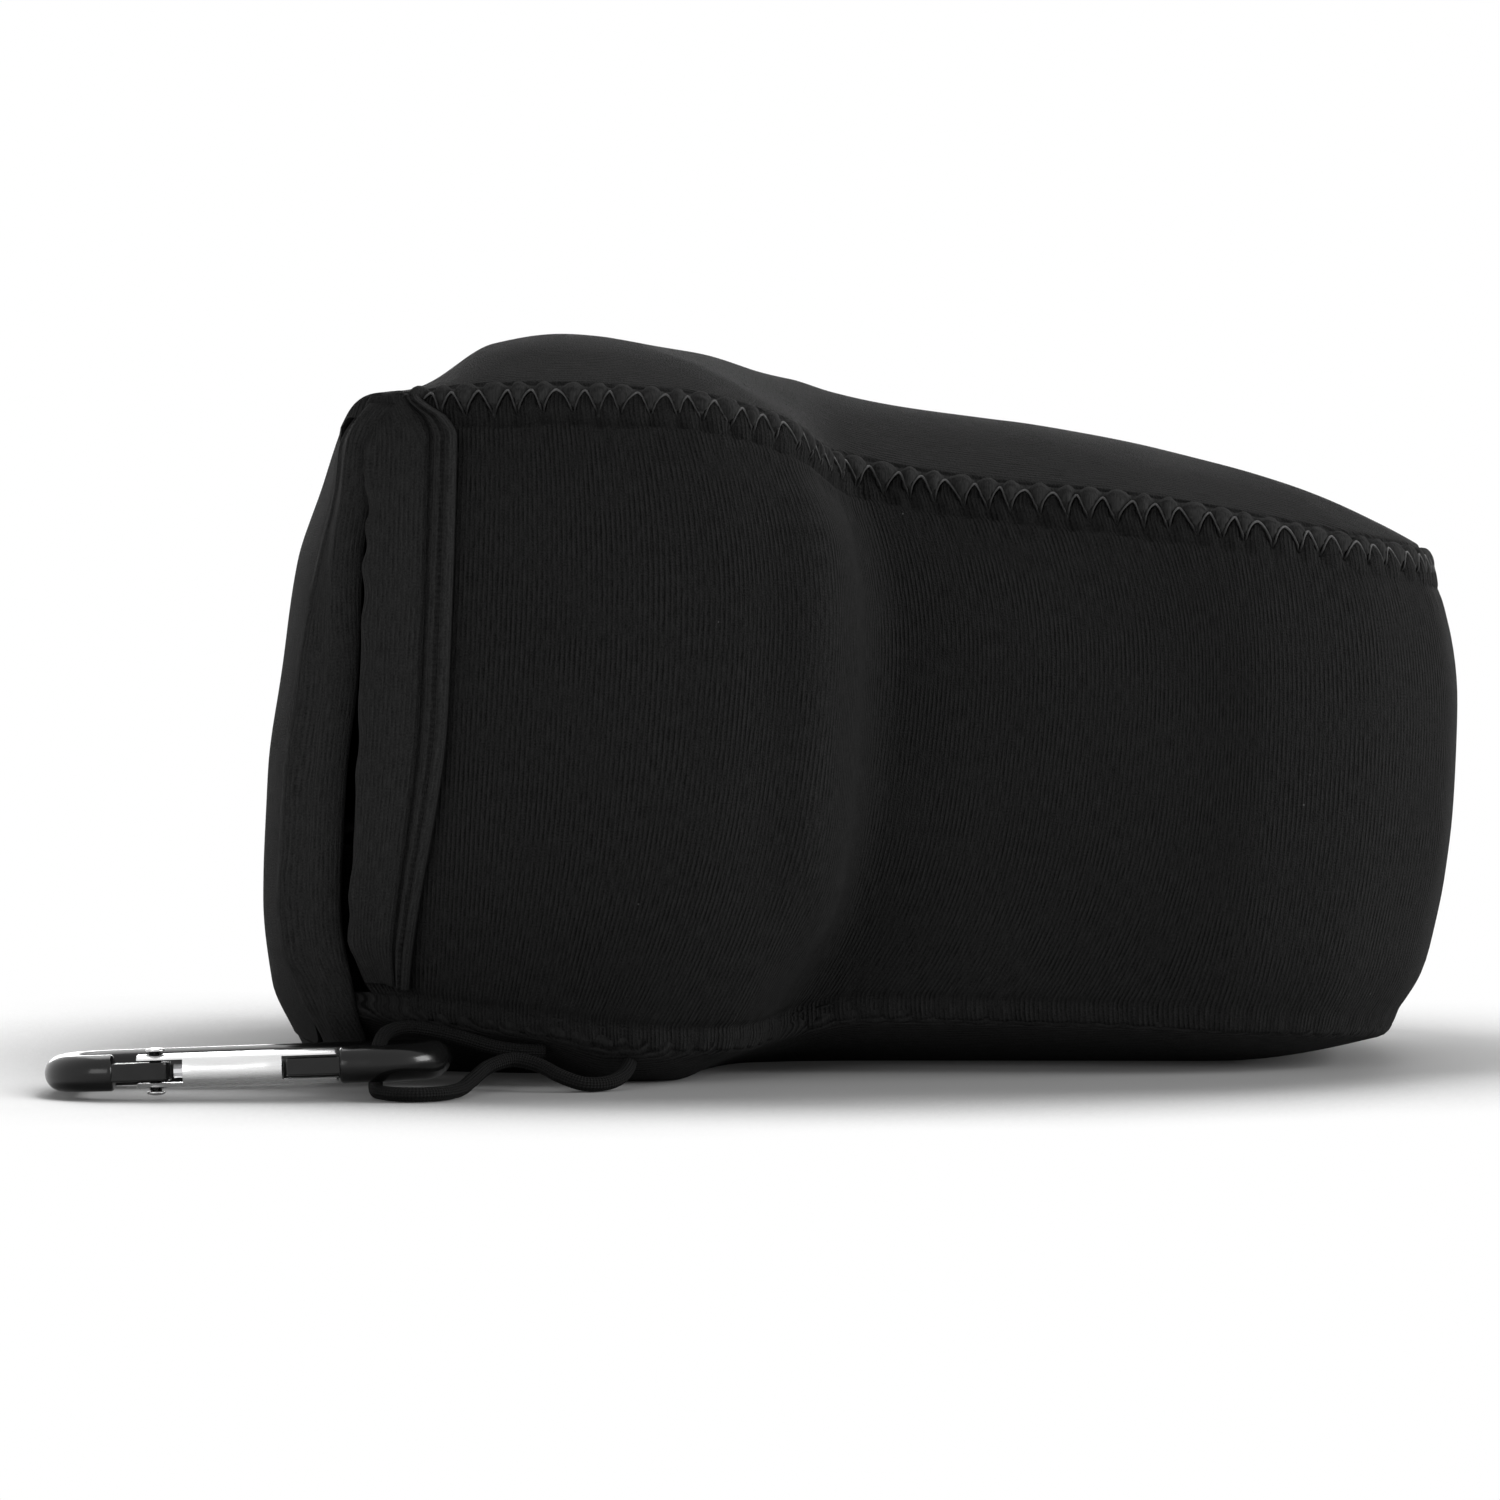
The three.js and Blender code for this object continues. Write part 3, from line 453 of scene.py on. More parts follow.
def mesh_object(name, points, quads, material, polygons=(), uv=None):
    """A smooth mesh from points in millimetres, its quads, and a few larger polygons."""
    mesh = bpy.data.meshes.new(name)
    points = np.asarray(points, np.float32).reshape(-1, 3) * MM
    faces = [np.asarray(quads, np.int32).reshape(-1, 4)]
    corners = faces[0].ravel()
    sizes = np.full(len(faces[0]), 4, np.int32)
    for polygon in polygons:
        corners = np.concatenate([corners, np.asarray(polygon, np.int32)])
        sizes = np.append(sizes, len(polygon))
    mesh.vertices.add(len(points))
    mesh.vertices.foreach_set("co", points.ravel())
    mesh.loops.add(len(corners))
    mesh.loops.foreach_set("vertex_index", corners.astype(np.int32))
    mesh.polygons.add(len(sizes))
    starts = np.concatenate([[0], np.cumsum(sizes)[:-1]])
    mesh.polygons.foreach_set("loop_start", starts.astype(np.int32))
    mesh.update(calc_edges=True)
    mesh.validate()
    if uv is not None:
        layer = mesh.uv_layers.new(name="cloth")
        order = np.empty(len(mesh.loops), np.int32)
        mesh.loops.foreach_get("vertex_index", order)
        layer.data.foreach_set("uv", (np.asarray(uv, np.float32).reshape(-1, 2) * MM)[order].ravel())
    mesh.shade_smooth()
    mesh.materials.append(material)
    piece = bpy.data.objects.new(name, mesh)
    bpy.context.collection.objects.link(piece)
    return piece


def grid_quads(columns, rows, first=0, flip=False):
    index = first + np.arange(columns * rows).reshape(columns, rows)
    a, b, c, d = index[:-1, :-1], index[1:, :-1], index[1:, 1:], index[:-1, 1:]
    order = (a, d, c, b) if flip else (a, b, c, d)
    return np.stack([q.ravel() for q in order], axis=1)


def strip_quads(line_a, line_b, flip=False):
    a, b, c, d = line_a[:-1], line_a[1:], line_b[1:], line_b[:-1]
    order = (a, d, c, b) if flip else (a, b, c, d)
    return np.stack(order, axis=1)


def shell(name, outer, inner, material, uv_outer, uv_inner, caps=(True, True), flip=False):
    """A closed sheet between an outer and an inner grid with as many columns."""
    columns, rows = outer.shape[:2]
    inner_rows = inner.shape[1]
    count = columns * rows
    front = np.arange(count).reshape(columns, rows)
    back = count + np.arange(columns * inner_rows).reshape(columns, inner_rows)
    quads = [
        grid_quads(columns, rows, 0, flip),
        grid_quads(columns, inner_rows, count, not flip),
        strip_quads(front[:, 0], back[:, 0], not flip),
        strip_quads(front[:, -1], back[:, -1], flip),
    ]
    polygons = []
    if caps[0]:
        ring = list(front[0]) + list(back[0][::-1])
        polygons.append(ring if flip else ring[::-1])
    if caps[1]:
        ring = list(front[-1]) + list(back[-1][::-1])
        polygons.append(ring[::-1] if flip else ring)
    points = np.concatenate([outer.reshape(-1, 3), inner.reshape(-1, 3)])
    uv = np.concatenate([uv_outer.reshape(-1, 2), uv_inner.reshape(-1, 2)])
    return mesh_object(name, points, np.concatenate(quads), material, polygons, uv)


def grid_normals(grid):
    normal = np.cross(np.gradient(grid, axis=0), np.gradient(grid, axis=1))
    return normal / np.maximum(np.linalg.norm(normal, axis=-1, keepdims=True), 1e-9)


def ring_faces(count, size, flip=False):
    """Quads between closed rings of points, and the faces that close both ends."""
    index = np.arange(count * size).reshape(count, size)
    ahead = np.roll(index, -1, axis=1)
    order = (index[:-1], ahead[:-1], ahead[1:], index[1:])
    quads = np.stack([q.ravel() for q in order], axis=1)
    ends = [index[0][::-1], index[-1]]
    if flip:
        return np.roll(quads[:, ::-1], 1, axis=1), [end[::-1] for end in ends]
    return quads, ends


def reworked(piece, *steps):
    """Runs bmesh steps on a piece's mesh."""
    data = bmesh.new()
    data.from_mesh(piece.data)
    for step in steps:
        step(data)
    data.to_mesh(piece.data)
    data.free()


def turned_out(piece):
    reworked(piece, lambda data: bmesh.ops.recalc_face_normals(data, faces=data.faces))
    return piece


def welded(piece):
    reworked(
        piece,
        lambda data: bmesh.ops.remove_doubles(data, verts=data.verts, dist=2e-6),
        lambda data: bmesh.ops.dissolve_degenerate(data, edges=data.edges, dist=1e-7),
    )


def dress(piece, node_name, body):
    """Says which body a piece rides on, which solid it stands in for."""
    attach(piece, body)
    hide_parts(node_name)


def resampled(line, distances):
    """Points of a line at chosen distances along it."""
    reach = reach_along(line)
    return np.stack([np.interp(distances, reach, line[:, k]) for k in range(3)], axis=1)


def lumps(points, *layers):
    """Layers of smooth noise, each with its height, its size and its own start."""
    return sum(height * soft_noise(points, size, seed) for height, size, seed in layers)


def soft_noise(points, size, seed=0.0):
    """Smooth noise of about the given size, for each point."""
    shift = Vector((seed, seed * 1.7, seed * 0.3))
    flat = points.reshape(-1, 3) / size
    values = [noise.noise(Vector(p) + shift) for p in flat]
    return np.array(values).reshape(points.shape[:-1])


# Materials

SOCKETS = {"metallic": "Metallic", "specular": "Specular IOR Level", "sheen": "Sheen Weight"}


class Wires:
    """Short calls for wiring a material or a world; an input takes a plain value or a socket."""

    def __init__(self, owner):
        owner.use_nodes = True
        self.owner = owner
        self.tree = owner.node_tree

    def put(self, value, socket):
        if isinstance(value, bpy.types.NodeSocket):
            self.tree.links.new(value, socket)
        else:
            socket.default_value = value

    def add(self, kind, output, inputs, **settings):
        """A new node with its inputs filled; gives one of its outputs."""
        made = self.tree.nodes.new("ShaderNode" + kind)
        for name, value in settings.items():
            setattr(made, name, value)
        for name, value in inputs.items():
            self.put(value, made.inputs[name])
        return made.outputs[output]

    def math(self, operation, a, b=0.0, *more):
        return self.add("Math", 0, dict(enumerate((a, b, *more))), operation=operation)

    def uv(self):
        vector = self.add("UVMap", 0, {}, uv_map="cloth")
        split = self.add("SeparateXYZ", 0, {0: vector}).node
        return vector, split.outputs[0], split.outputs[1]

    def place(self):
        return self.add("TexCoord", "Object", {})

    def seen(self):
        """1 for the camera's rays and for mirror images, 0 for the light that falls on things."""
        path = self.add("LightPath", 0, {}).node
        return self.math("MAXIMUM", path.outputs["Is Camera Ray"], path.outputs["Is Glossy Ray"])

    def stretched(self, vector, scale):
        return self.add("Mapping", 0, {"Vector": vector, "Scale": scale})

    def noise(self, vector, scale, detail=2.0, rough=0.5):
        inputs = {"Vector": vector, "Scale": scale, "Detail": detail, "Roughness": rough}
        return self.add("TexNoise", "Fac", inputs)

    def spots(self, vector, scale, randomness=1.0):
        inputs = {"Vector": vector, "Scale": scale, "Randomness": randomness}
        return self.add("TexVoronoi", "Distance", inputs)

    def spread(self, value, low, high, out_low=0.0, out_high=1.0):
        inputs = {"Value": value, "From Min": low, "From Max": high, "To Min": out_low, "To Max": out_high}
        return self.add("MapRange", 0, inputs, clamp=True)

    def mixed(self, factor, a, b):
        return self.add("Mix", 2, {"Factor": factor, 6: a, 7: b}, data_type="RGBA")

    def bump(self, height, distance):
        return self.add("Bump", 0, {"Height": height, "Distance": distance, "Strength": 1.0})

    def finish(self, color, roughness, normal=None, **levels):
        """Fills the shader; levels are plain values of its own sockets."""
        inputs = self.tree.nodes["Principled BSDF"].inputs
        self.put(color, inputs["Base Color"])
        self.put(roughness, inputs["Roughness"])
        for name, level in levels.items():
            inputs[SOCKETS[name]].default_value = level
        if normal is not None:
            self.put(normal, inputs["Normal"])
        return self.owner


def new_material(name):
    return Wires(bpy.data.materials.new(name))


def grey(value):
    return (value, value, value, 1.0)


def knit_material(name, rib, row, dark, light, depth, ribbing=0.36, lint=True):
    """Ribbed knit cloth; ribs run along the cloth's V and lie rib millimetres apart."""
    w = new_material(name)
    vector, u, _ = w.uv()
    wander = w.noise(w.stretched(vector, (70, 22, 1)), 1.0, 2.0)
    shifted = w.math("MULTIPLY_ADD", wander, rib * MM * 1.6, u)
    turns = w.math("MULTIPLY", shifted, 2 * math.pi / (rib * MM))
    overtone = w.math("SINE", w.math("MULTIPLY", turns, 2.0))
    wave = w.math("MULTIPLY_ADD", overtone, 0.35, w.math("SINE", turns))
    strand = w.noise(w.stretched(vector, (2.2 / (rib * MM), 1 / (rib * MM * 3.4), 1)), 1.0, 2.0)
    loops = w.noise(w.stretched(vector, (3 / (rib * MM), 2 / (row * MM), 1)), 1.0, 1.0)
    patch = w.spread(w.noise(w.place(), 210.0, 2.0), 0.35, 0.65, 0.35, 1.0)
    height = w.math("MULTIPLY", w.math("MULTIPLY", wave, ribbing), patch)
    height = w.math("MULTIPLY_ADD", strand, 1.2, height)
    height = w.math("MULTIPLY_ADD", loops, 1.3, height)
    blotch = w.noise(w.place(), 45.0, 3.0, 0.5)
    shade = w.spread(w.math("MULTIPLY_ADD", blotch, 0.3, height), 0.8, 2.0)
    color = w.mixed(shade, grey(dark), grey(light))
    if lint:
        speck = w.spots(w.place(), 620.0)
        chance = w.noise(w.place(), 130.0, 1.0)
        sparse = w.spread(chance, 0.70, 0.74)
        fleck = w.math("MULTIPLY", w.spread(speck, 0.10, 0.05), sparse)
        color = w.mixed(fleck, color, grey(0.10))
    return w.finish(color, 0.9, w.bump(height, depth * MM), specular=0.03)


neoprene = knit_material("neoprene", rib=0.57, row=0.42, dark=0.006, light=0.029, depth=0.13)
binding_knit = knit_material(
    "binding_knit", rib=0.62, row=0.5, dark=0.010, light=0.039, depth=0.11, ribbing=0.2,
)
neoprene_top = knit_material(
    "neoprene_top", rib=0.8, row=0.5, dark=0.006, light=0.029, depth=0.14, ribbing=0.26,
)
# A lighter copy of the top panel's knit for the puffs along the top seam: painted light, so that they look
# lit.
neoprene_seam_painted_light = knit_material(
    "neoprene_seam_painted_light", rib=0.66, row=0.42, dark=0.014, light=0.048, depth=0.07, ribbing=0.1,
)
lining = knit_material("lining", rib=0.9, row=0.7, dark=0.008, light=0.018, depth=0.12, lint=False)


def thread_material():
    """Light over the arches' tops, darker where the thread sinks into the cloth; that darkening is painted
    shade.
    """
    w = new_material("thread")
    v = w.uv()[2]
    place = w.math("MULTIPLY", w.math("PINGPONG", w.math("DIVIDE", v, STITCH_PITCH * MM), 0.5), 2.0)
    # fade darkens the thread towards its feet: painted shade where it sinks into the cloth.
    fade = w.spread(place, 0.15, 0.85)
    twist = w.noise(w.place(), 2600.0, 2.0)
    pale = w.mixed(twist, grey(0.05), grey(0.15))
    return w.finish(w.mixed(fade, pale, grey(0.012)), 0.6, w.bump(twist, 0.05 * MM), specular=0.2)


def cord_material():
    w = new_material("braided_cord")
    _, u, v = w.uv()
    turn = 2 * math.pi / (BRAID_PITCH * MM)
    one, other = [w.math("SINE", w.math("MULTIPLY", w.math(way, u, v), turn)) for way in ("ADD", "SUBTRACT")]
    weave = w.math("MULTIPLY", one, other)
    height = w.math("MULTIPLY_ADD", w.noise(w.place(), 2200.0, 2.0), 0.5, weave)
    color = w.mixed(w.spread(height, -1.0, 1.3), grey(0.002), grey(0.014))
    return w.finish(color, 0.8, w.bump(height, 0.12 * MM), specular=0.1)


def closure_material(name, pitch, light):
    w = new_material(name)
    tufts = w.spots(w.place(), 1000.0 / pitch, 0.5)
    fuzz = w.noise(w.place(), 2400.0, 3.0)
    height = w.math("MULTIPLY_ADD", fuzz, 0.5, w.math("MULTIPLY", tufts, -1.0))
    color = w.mixed(w.spread(height, -0.5, 0.4), grey(0.004), grey(light))
    return w.finish(color, 0.85, w.bump(height, 0.5 * MM), sheen=0.3)


def black_metal_material():
    w = new_material("black_coating")
    grain = w.noise(w.place(), 700.0, 3.0)
    wear = w.noise(w.place(), 120.0, 3.0)
    color = w.mixed(w.spread(wear, 0.3, 0.8), grey(0.004), grey(0.008))
    rough = w.spread(grain, 0.3, 0.7, 0.14, 0.24)
    return w.finish(color, rough, w.bump(grain, 0.006 * MM), specular=0.3)


def bright_metal_material(name, tone):
    w = new_material(name)
    drawn = w.noise(w.stretched(w.place(), (180, 2600, 2600)), 1.0, 3.0)
    rough = w.spread(drawn, 0.3, 0.7, 0.2, 0.34)
    color = w.mixed(drawn, grey(tone * 0.9), grey(tone))
    return w.finish(color, rough, w.bump(drawn, 0.01 * MM), metallic=1.0)


thread = thread_material()
cord_cloth = cord_material()
loop_pile = closure_material("loop_pile", 0.7, 0.02)
hook_pile = closure_material("hook_pile", 1.1, 0.014)
black_metal = black_metal_material()
aluminium = bright_metal_material("aluminium", 0.78)
steel = bright_metal_material("rivet_steel", 0.6)


# Camera and stage

def add_camera():
    data = bpy.data.cameras.new("camera")
    data.lens = CAMERA_LENS
    data.sensor_width = SENSOR_WIDTH
    data.clip_end = VIEW_END
    camera = bpy.data.objects.new("camera", data)
    camera.location = Vector(CAMERA_PLACE) * MM
    camera.rotation_euler = (math.radians(90 - CAMERA_PITCH), 0, 0)
    bpy.context.collection.objects.link(camera)
    bpy.context.scene.camera = camera


add_camera()


# Cord loop

def tube_mesh(name, points, radius, sides, material, radii=None, along=None):
    """A round tube along points in millimetres, closed at both ends."""
    points = np.asarray(points, float)
    tangents = unit(np.gradient(points, axis=0))
    start = np.array([0.0, 0.0, 1.0])
    if abs(tangents[0] @ start) > 0.9:
        start = np.array([0.0, 1.0, 0.0])
    side = np.cross(tangents[0], start)
    radii = np.full(len(points), radius) if radii is None else radii
    along = reach_along(points) if along is None else along
    angles = np.arange(sides) * 2 * math.pi / sides
    rings = []
    uv = []
    for point, tangent, size, length in zip(points, tangents, radii, along):
        side = unit(side - tangent * (side @ tangent))
        up = np.cross(side, tangent)
        rings.append(point + size * (np.cos(angles)[:, None] * side + np.sin(angles)[:, None] * up))
        uv.append(np.stack([angles * radius, np.full(sides, length)], 1))
    quads, ends = ring_faces(len(points), sides, flip=True)
    return mesh_object(name, np.array(rings), quads, material, ends, np.array(uv))


def rounded_route(points, step):
    """Centripetal Catmull-Rom route through points, at an even step."""
    points = np.array(points, float)
    padded = np.vstack([2 * points[0] - points[1], points, 2 * points[-1] - points[-2]])
    line = []
    for p0, p1, p2, p3 in zip(padded, padded[1:], padded[2:], padded[3:]):
        t1 = np.linalg.norm(p1 - p0) ** 0.5
        t2 = t1 + np.linalg.norm(p2 - p1) ** 0.5
        t3 = t2 + np.linalg.norm(p3 - p2) ** 0.5
        for t in np.linspace(t1, t2, 24, endpoint=False):
            a1 = (t1 - t) / t1 * p0 + t / t1 * p1
            a2 = (t2 - t) / (t2 - t1) * p1 + (t - t1) / (t2 - t1) * p2
            a3 = (t3 - t) / (t3 - t2) * p2 + (t - t2) / (t3 - t2) * p3
            b1 = (t2 - t) / t2 * a1 + t / t2 * a2
            b2 = (t3 - t) / (t3 - t1) * a2 + (t - t1) / (t3 - t1) * a3
            line.append((t2 - t) / (t2 - t1) * b1 + (t - t1) / (t2 - t1) * b2)
    line = np.array(line + [points[-1]])
    length = reach_along(line)[-1]
    return resampled(line, np.linspace(0, length, int(round(length / step)) + 1)), length


def add_cord():
    route, length = rounded_route(CORD_POINTS, 0.3)
    cord = tube_mesh("cord_braid", route, CORD_DIAMETER / 2 - 0.03, 20, cord_cloth)
    dress(cord, "cord_loop", "case")


add_cord()


# Seams: the cloth's cross-section where the band meets a panel

PANEL_EDGE = 2.2
COLUMN_STEP = 0.5
CORNER_SHARES = np.linspace(0, 1, 25)
CORNER_MIDDLE = 12
TOP_CORNER_PULL = 1.8
BOTTOM_CORNER_PULL = 1.5


def even_columns(outline, height):
    """Even distances along a seam, and the outline's t at each."""
    fine = np.linspace(0, 1, 6001)
    plan = outline(fine)
    reach = reach_along(np.column_stack([plan, height(plan[:, 0])]))
    even = np.linspace(0, reach[-1], int(round(reach[-1] / COLUMN_STEP)) + 1)
    return even, np.interp(even, reach, fine)


def inward(outline, t):
    step = 0.002
    along = outline(np.minimum(t + step, 1)) - outline(np.maximum(t - step, 0))
    return unit(np.stack([-along[:, 1], along[:, 0]], 1))


def panel_point(outline, surface, t, inset):
    place = outline(t) + inward(outline, t) * inset
    return np.column_stack([place, surface(place[:, 0], place[:, 1])])


def bridge(outline, surface, t, end, shares, pull):
    """The soft corner from the band's end (v is 0 or 1) to the panel, at shares from 0 to 1."""
    near = band_point(t, np.full(len(t), float(end)))
    back = band_point(t, np.full(len(t), 0.985 if end else 0.015))
    far = panel_point(outline, surface, t, PANEL_EDGE)
    beyond = panel_point(outline, surface, t, PANEL_EDGE + 0.4)
    one = near + unit(near - back) * pull
    two = far - unit(beyond - far) * pull
    return cubic(near[:, None], one[:, None], two[:, None], far[:, None], shares[None, :, None])


def top_bridge(t, shares=CORNER_SHARES):
    return bridge(top_outline, top_z, t, 1, shares, TOP_CORNER_PULL)


def bottom_bridge(t):
    return bridge(bottom_outline, bottom_z, t, 0, CORNER_SHARES, BOTTOM_CORNER_PULL)


def top_corner():
    """Lines up the band's last stretch and over the top seam, and the seam's middle on them."""
    lead = band_point(seam_t[:, None], np.linspace(0.94, 0.995, 8)[None, :])
    return np.concatenate([lead, top_bridge(seam_t)], axis=1), lead.shape[1] + CORNER_MIDDLE


seam_s, seam_t = even_columns(top_outline, top_seam_z)
SEAM_LENGTH = seam_s[-1]
stitch_pitch = SEAM_LENGTH / round(SEAM_LENGTH / STITCH_PITCH)


def stitch_turns(s):
    """How many stitches, a little uneven by hand, lie before a place on the seam."""
    return (s + 0.25 * np.sin(s * 0.61 + 1) + 0.16 * np.sin(s * 1.43)) / stitch_pitch


def arch_place(s):
    """How far along its stitch a place is, from 0 at the arch's top to 1 at its foot."""
    turns = stitch_turns(s)
    return 2 * np.abs(turns - np.round(turns))


def arch_line(s):
    """The stitches' line across the seam, positive down the band."""
    place = arch_place(s)
    return ARCH_TOP + ARCH_HEIGHT * (ARCH_STRAIGHT * place + (1 - ARCH_STRAIGHT) * place**ARCH_POWER)


def dome(across, along, radius_across, radius_along):
    """A round swelling, 1 at its top and 0 from its rim on."""
    return np.sqrt(np.clip(1 - (across / radius_across) ** 2 - (along / radius_along) ** 2, 0, 1))


def at_front(s):
    """1 round the lens end, 0 along the sides."""
    return smoothstep(s, SEAM_LENGTH - FRONT_STARTS, SEAM_LENGTH - FRONT_FULL)


def foot_pull(s, v):
    """The band's rear edge and its strip turn forward at their foot."""
    return FOOT_PULL * (1 - smoothstep(v, -0.02, 0.12)) ** 2 * (1 - smoothstep(s, 0.0, 11.0))


def band_relief(s, from_top, from_bottom, quiet):
    """How far the band's cloth stands proud: s along the seam, distances in from both seams."""
    place = arch_place(s)
    front = at_front(s)
    odd = 0.75 + 0.25 * np.sin(s * 0.83) * np.sin(s * 0.31 + 1)
    inside = smoothstep(from_top - arch_line(s), -0.6, 0.3)
    tuck = -TUCK_DEPTH * (1 - inside)
    swell = SWELL_HEIGHT * dome(from_top - 0.5, place * stitch_pitch / 2, 2.3, 1.5)
    scallop = 0.35 * place**3 + 0.2 * np.sin(s * 0.47)
    fall = smoothstep(from_top, 0.8, 2.5) * (1 - smoothstep(from_top, 2.75 + scallop, 3.2 + scallop))
    groove = -(GROOVE_DEPTH + 0.4 * odd * place**2) * fall * (1 - 0.85 * front)
    ledge = LEDGE_HEIGHT * hump(from_top, 3.9, 1.0) * (1 - front)
    wave = np.cos(np.pi * place)
    gather = GATHER_HEIGHT * wave * smoothstep(from_top, 3.4, 4.4) * (1 - smoothstep(from_top, 4.5, 9))
    low = LOW_GATHER_HEIGHT * wave * odd * (1 - smoothstep(from_bottom, 1.0, 5.0)) * (1 - 0.5 * front)
    crease = -CREASE_DEPTH * hump(from_bottom, 1.6, 0.7) * (1 - 0.9 * front)
    fullness = FRONT_FULLNESS * front * hump(from_bottom, 7, 6.0)
    return (tuck + (swell + groove + ledge + gather) * inside + low + crease + fullness) * quiet


def panel_relief(s, inside, quiet):
    """How far the top panel's cloth stands proud; inside is the distance in from the seam."""
    place = arch_place(s)
    above = smoothstep(arch_line(s) + inside, -0.25, 0.5)
    tuck = -TUCK_DEPTH * (1 - above)
    puff = PUFF_HEIGHT * dome(inside - 1.2, (1 - place) * stitch_pitch / 2, 1.7, 1.64)
    notch = -NOTCH_DEPTH * hump(place * stitch_pitch / 2, 0, 0.6) * hump(inside, 2.3, 0.6)
    crease = -FOLD_DEPTH * hump(inside, 3.1, 0.4)
    return (tuck + (puff * (1 - 0.45 * at_front(s)) + notch + crease) * above) * quiet


def add_band():
    levels = np.linspace(0, 1, 121)[1:-1]
    middle = band_point(seam_t[:, None], levels[None, :])
    lines = np.concatenate([bottom_bridge(seam_t)[:, ::-1], middle, top_bridge(seam_t)], axis=1)
    top_rows = np.concatenate([np.arange(-1.9, 4.7, 0.22), np.arange(4.9, 10, 0.6)])
    low_rows = np.arange(-1.3, 7.5, 0.5)
    fill = np.linspace(0, 1, 26)[1:-1]
    columns = []
    distances = []
    for line in lines:
        reach = reach_along(line)
        low_rim = reach[CORNER_MIDDLE] + low_rows
        high_rim = reach[-CORNER_MIDDLE - 1] - SEAM_DROP - top_rows[::-1]
        at = np.concatenate([low_rim, lerp(low_rim[-1], high_rim[0], fill), high_rim])
        columns.append(resampled(line, at))
        distances.append([reach[-CORNER_MIDDLE - 1] - SEAM_DROP - at, at - reach[CORNER_MIDDLE]])
    near = np.array(columns)
    from_top, from_bottom = np.moveaxis(np.array(distances), 1, 0)
    share = from_bottom / (from_top + from_bottom)
    near[..., 0] += foot_pull(seam_s[:, None], share)
    normals = grid_normals(near)
    upright = smoothstep(share, 0.06, 0.3) * (1 - smoothstep(share, 0.8, 0.97))
    ridge = SHOULDER_RIDGE * hump(near[..., 0], SHOULDER_RIDGE_X, SHOULDER_RIDGE_WIDTH) * upright
    near = near + normals * ridge[..., None]
    quiet = smoothstep(seam_s, 1.0, 6.0)[:, None]
    relief = band_relief(seam_s[:, None], from_top, from_bottom, quiet)
    rows = np.linspace(3, near.shape[1] - 4, 14).astype(int)
    inner = with_far_side(near[:, rows] - normals[:, rows] * WALL)
    outer = with_far_side(near + normals * relief[..., None])
    u = np.broadcast_to(seam_s[:, None], near.shape[:2])
    uv = with_far_side(np.stack([u, near[..., 2]], -1), 2 * SEAM_LENGTH)
    wobble = lumps(outer, (0.45, 26.0, 3.1), (0.12, 9.0, 8.2))
    outer = outer + grid_normals(outer) * wobble[..., None]
    band = shell("band_cloth", outer, inner, neoprene, uv, uv[:, rows])
    dress(band, "side_band", "case")


def with_far_side(grid, around=None):
    """The near half of a grid of columns, followed by its mirror image on the far side."""
    far = grid[::-1][1:].copy()
    if around is None:
        far[..., 1] *= -1
    else:
        far[..., 0] = around - far[..., 0]
    return np.concatenate([grid, far])


add_band()


# Top panel and flap cover: one cloth that turns down at the rear

def half_panel(outline, surface, corner, seam_index, drop, t, zone, spine_end):
    """Lines in from the seam to the middle of a panel, sampled at the zone's distances and beyond."""
    plan = outline(t)
    start_x, front_x = plan[0, 0], plan[-1, 0]
    squeezed = start_x + (plan[:, 0] - start_x) * (spine_end - start_x) / (front_x - start_x)
    even = np.linspace(start_x, spine_end, len(t))
    p0 = plan + inward(outline, t) * PANEL_EDGE
    p3 = np.column_stack([0.5 * squeezed + 0.5 * even, np.zeros(len(t))])
    gap = np.linalg.norm(p3 - p0, axis=1, keepdims=True)
    p1 = p0 + inward(outline, t) * np.minimum(9.0, gap * 0.35)
    p2 = p3 + 0.35 * (p0 - p3)
    q = np.linspace(0, 1, 60)[1:][None, :, None]
    place = cubic(p0[:, None], p1[:, None], p2[:, None], p3[:, None], q)
    height = surface(place[..., 0], place[..., 1])
    lines = np.concatenate([corner, np.concatenate([place, height[..., None]], -1)], axis=1)
    fill = np.linspace(0, 1, 24)[1:] ** 0.9
    grid = []
    for line in lines:
        reach = reach_along(line)
        rim = reach[seam_index] - drop + zone
        grid.append(resampled(line, np.concatenate([rim, lerp(rim[-1], reach[-1], fill)])))
    return np.array(grid)


def bend_columns(first, end_point, end_pull, start_pull, steps):
    """Columns that turn from a panel's rear edge, row by row, to where the hanging part starts."""
    q = np.linspace(0, 1, steps + 2)[1:-1, None, None]
    return cubic(first[None], (first + start_pull)[None], (end_point + end_pull)[None], end_point[None], q)


def edge_shares(panel):
    """Where the points of a panel's rear edge lie across it, as shares of its half width."""
    return panel[0, :, 1] / abs(panel[0, 0, 1])


def hanging_rows(shares, half, foot, radius, turns, top, count):
    """The flap's face row by row, from its round foot up, with points at shares of its half width."""
    levels = np.concatenate([
        foot + radius * (1 - np.cos(np.linspace(0.05, math.pi / 2, turns))),
        np.linspace(foot + radius, top, count)[1:],
    ])
    rows = []
    for z in levels:
        rise = np.clip(radius - (z - foot), 0, radius)
        y = shares * (half - radius + np.sqrt(np.maximum(radius**2 - rise**2, 0)))
        rows.append(np.column_stack([flap_x(y, z), y, np.full(len(y), z)]))
    return np.array(rows)


def across_both(near):
    """Near half rows carried on over the middle to the far edge."""
    far = near[:, ::-1][:, 1:].copy()
    far[..., 1] *= -1
    return np.concatenate([near, far], axis=1)


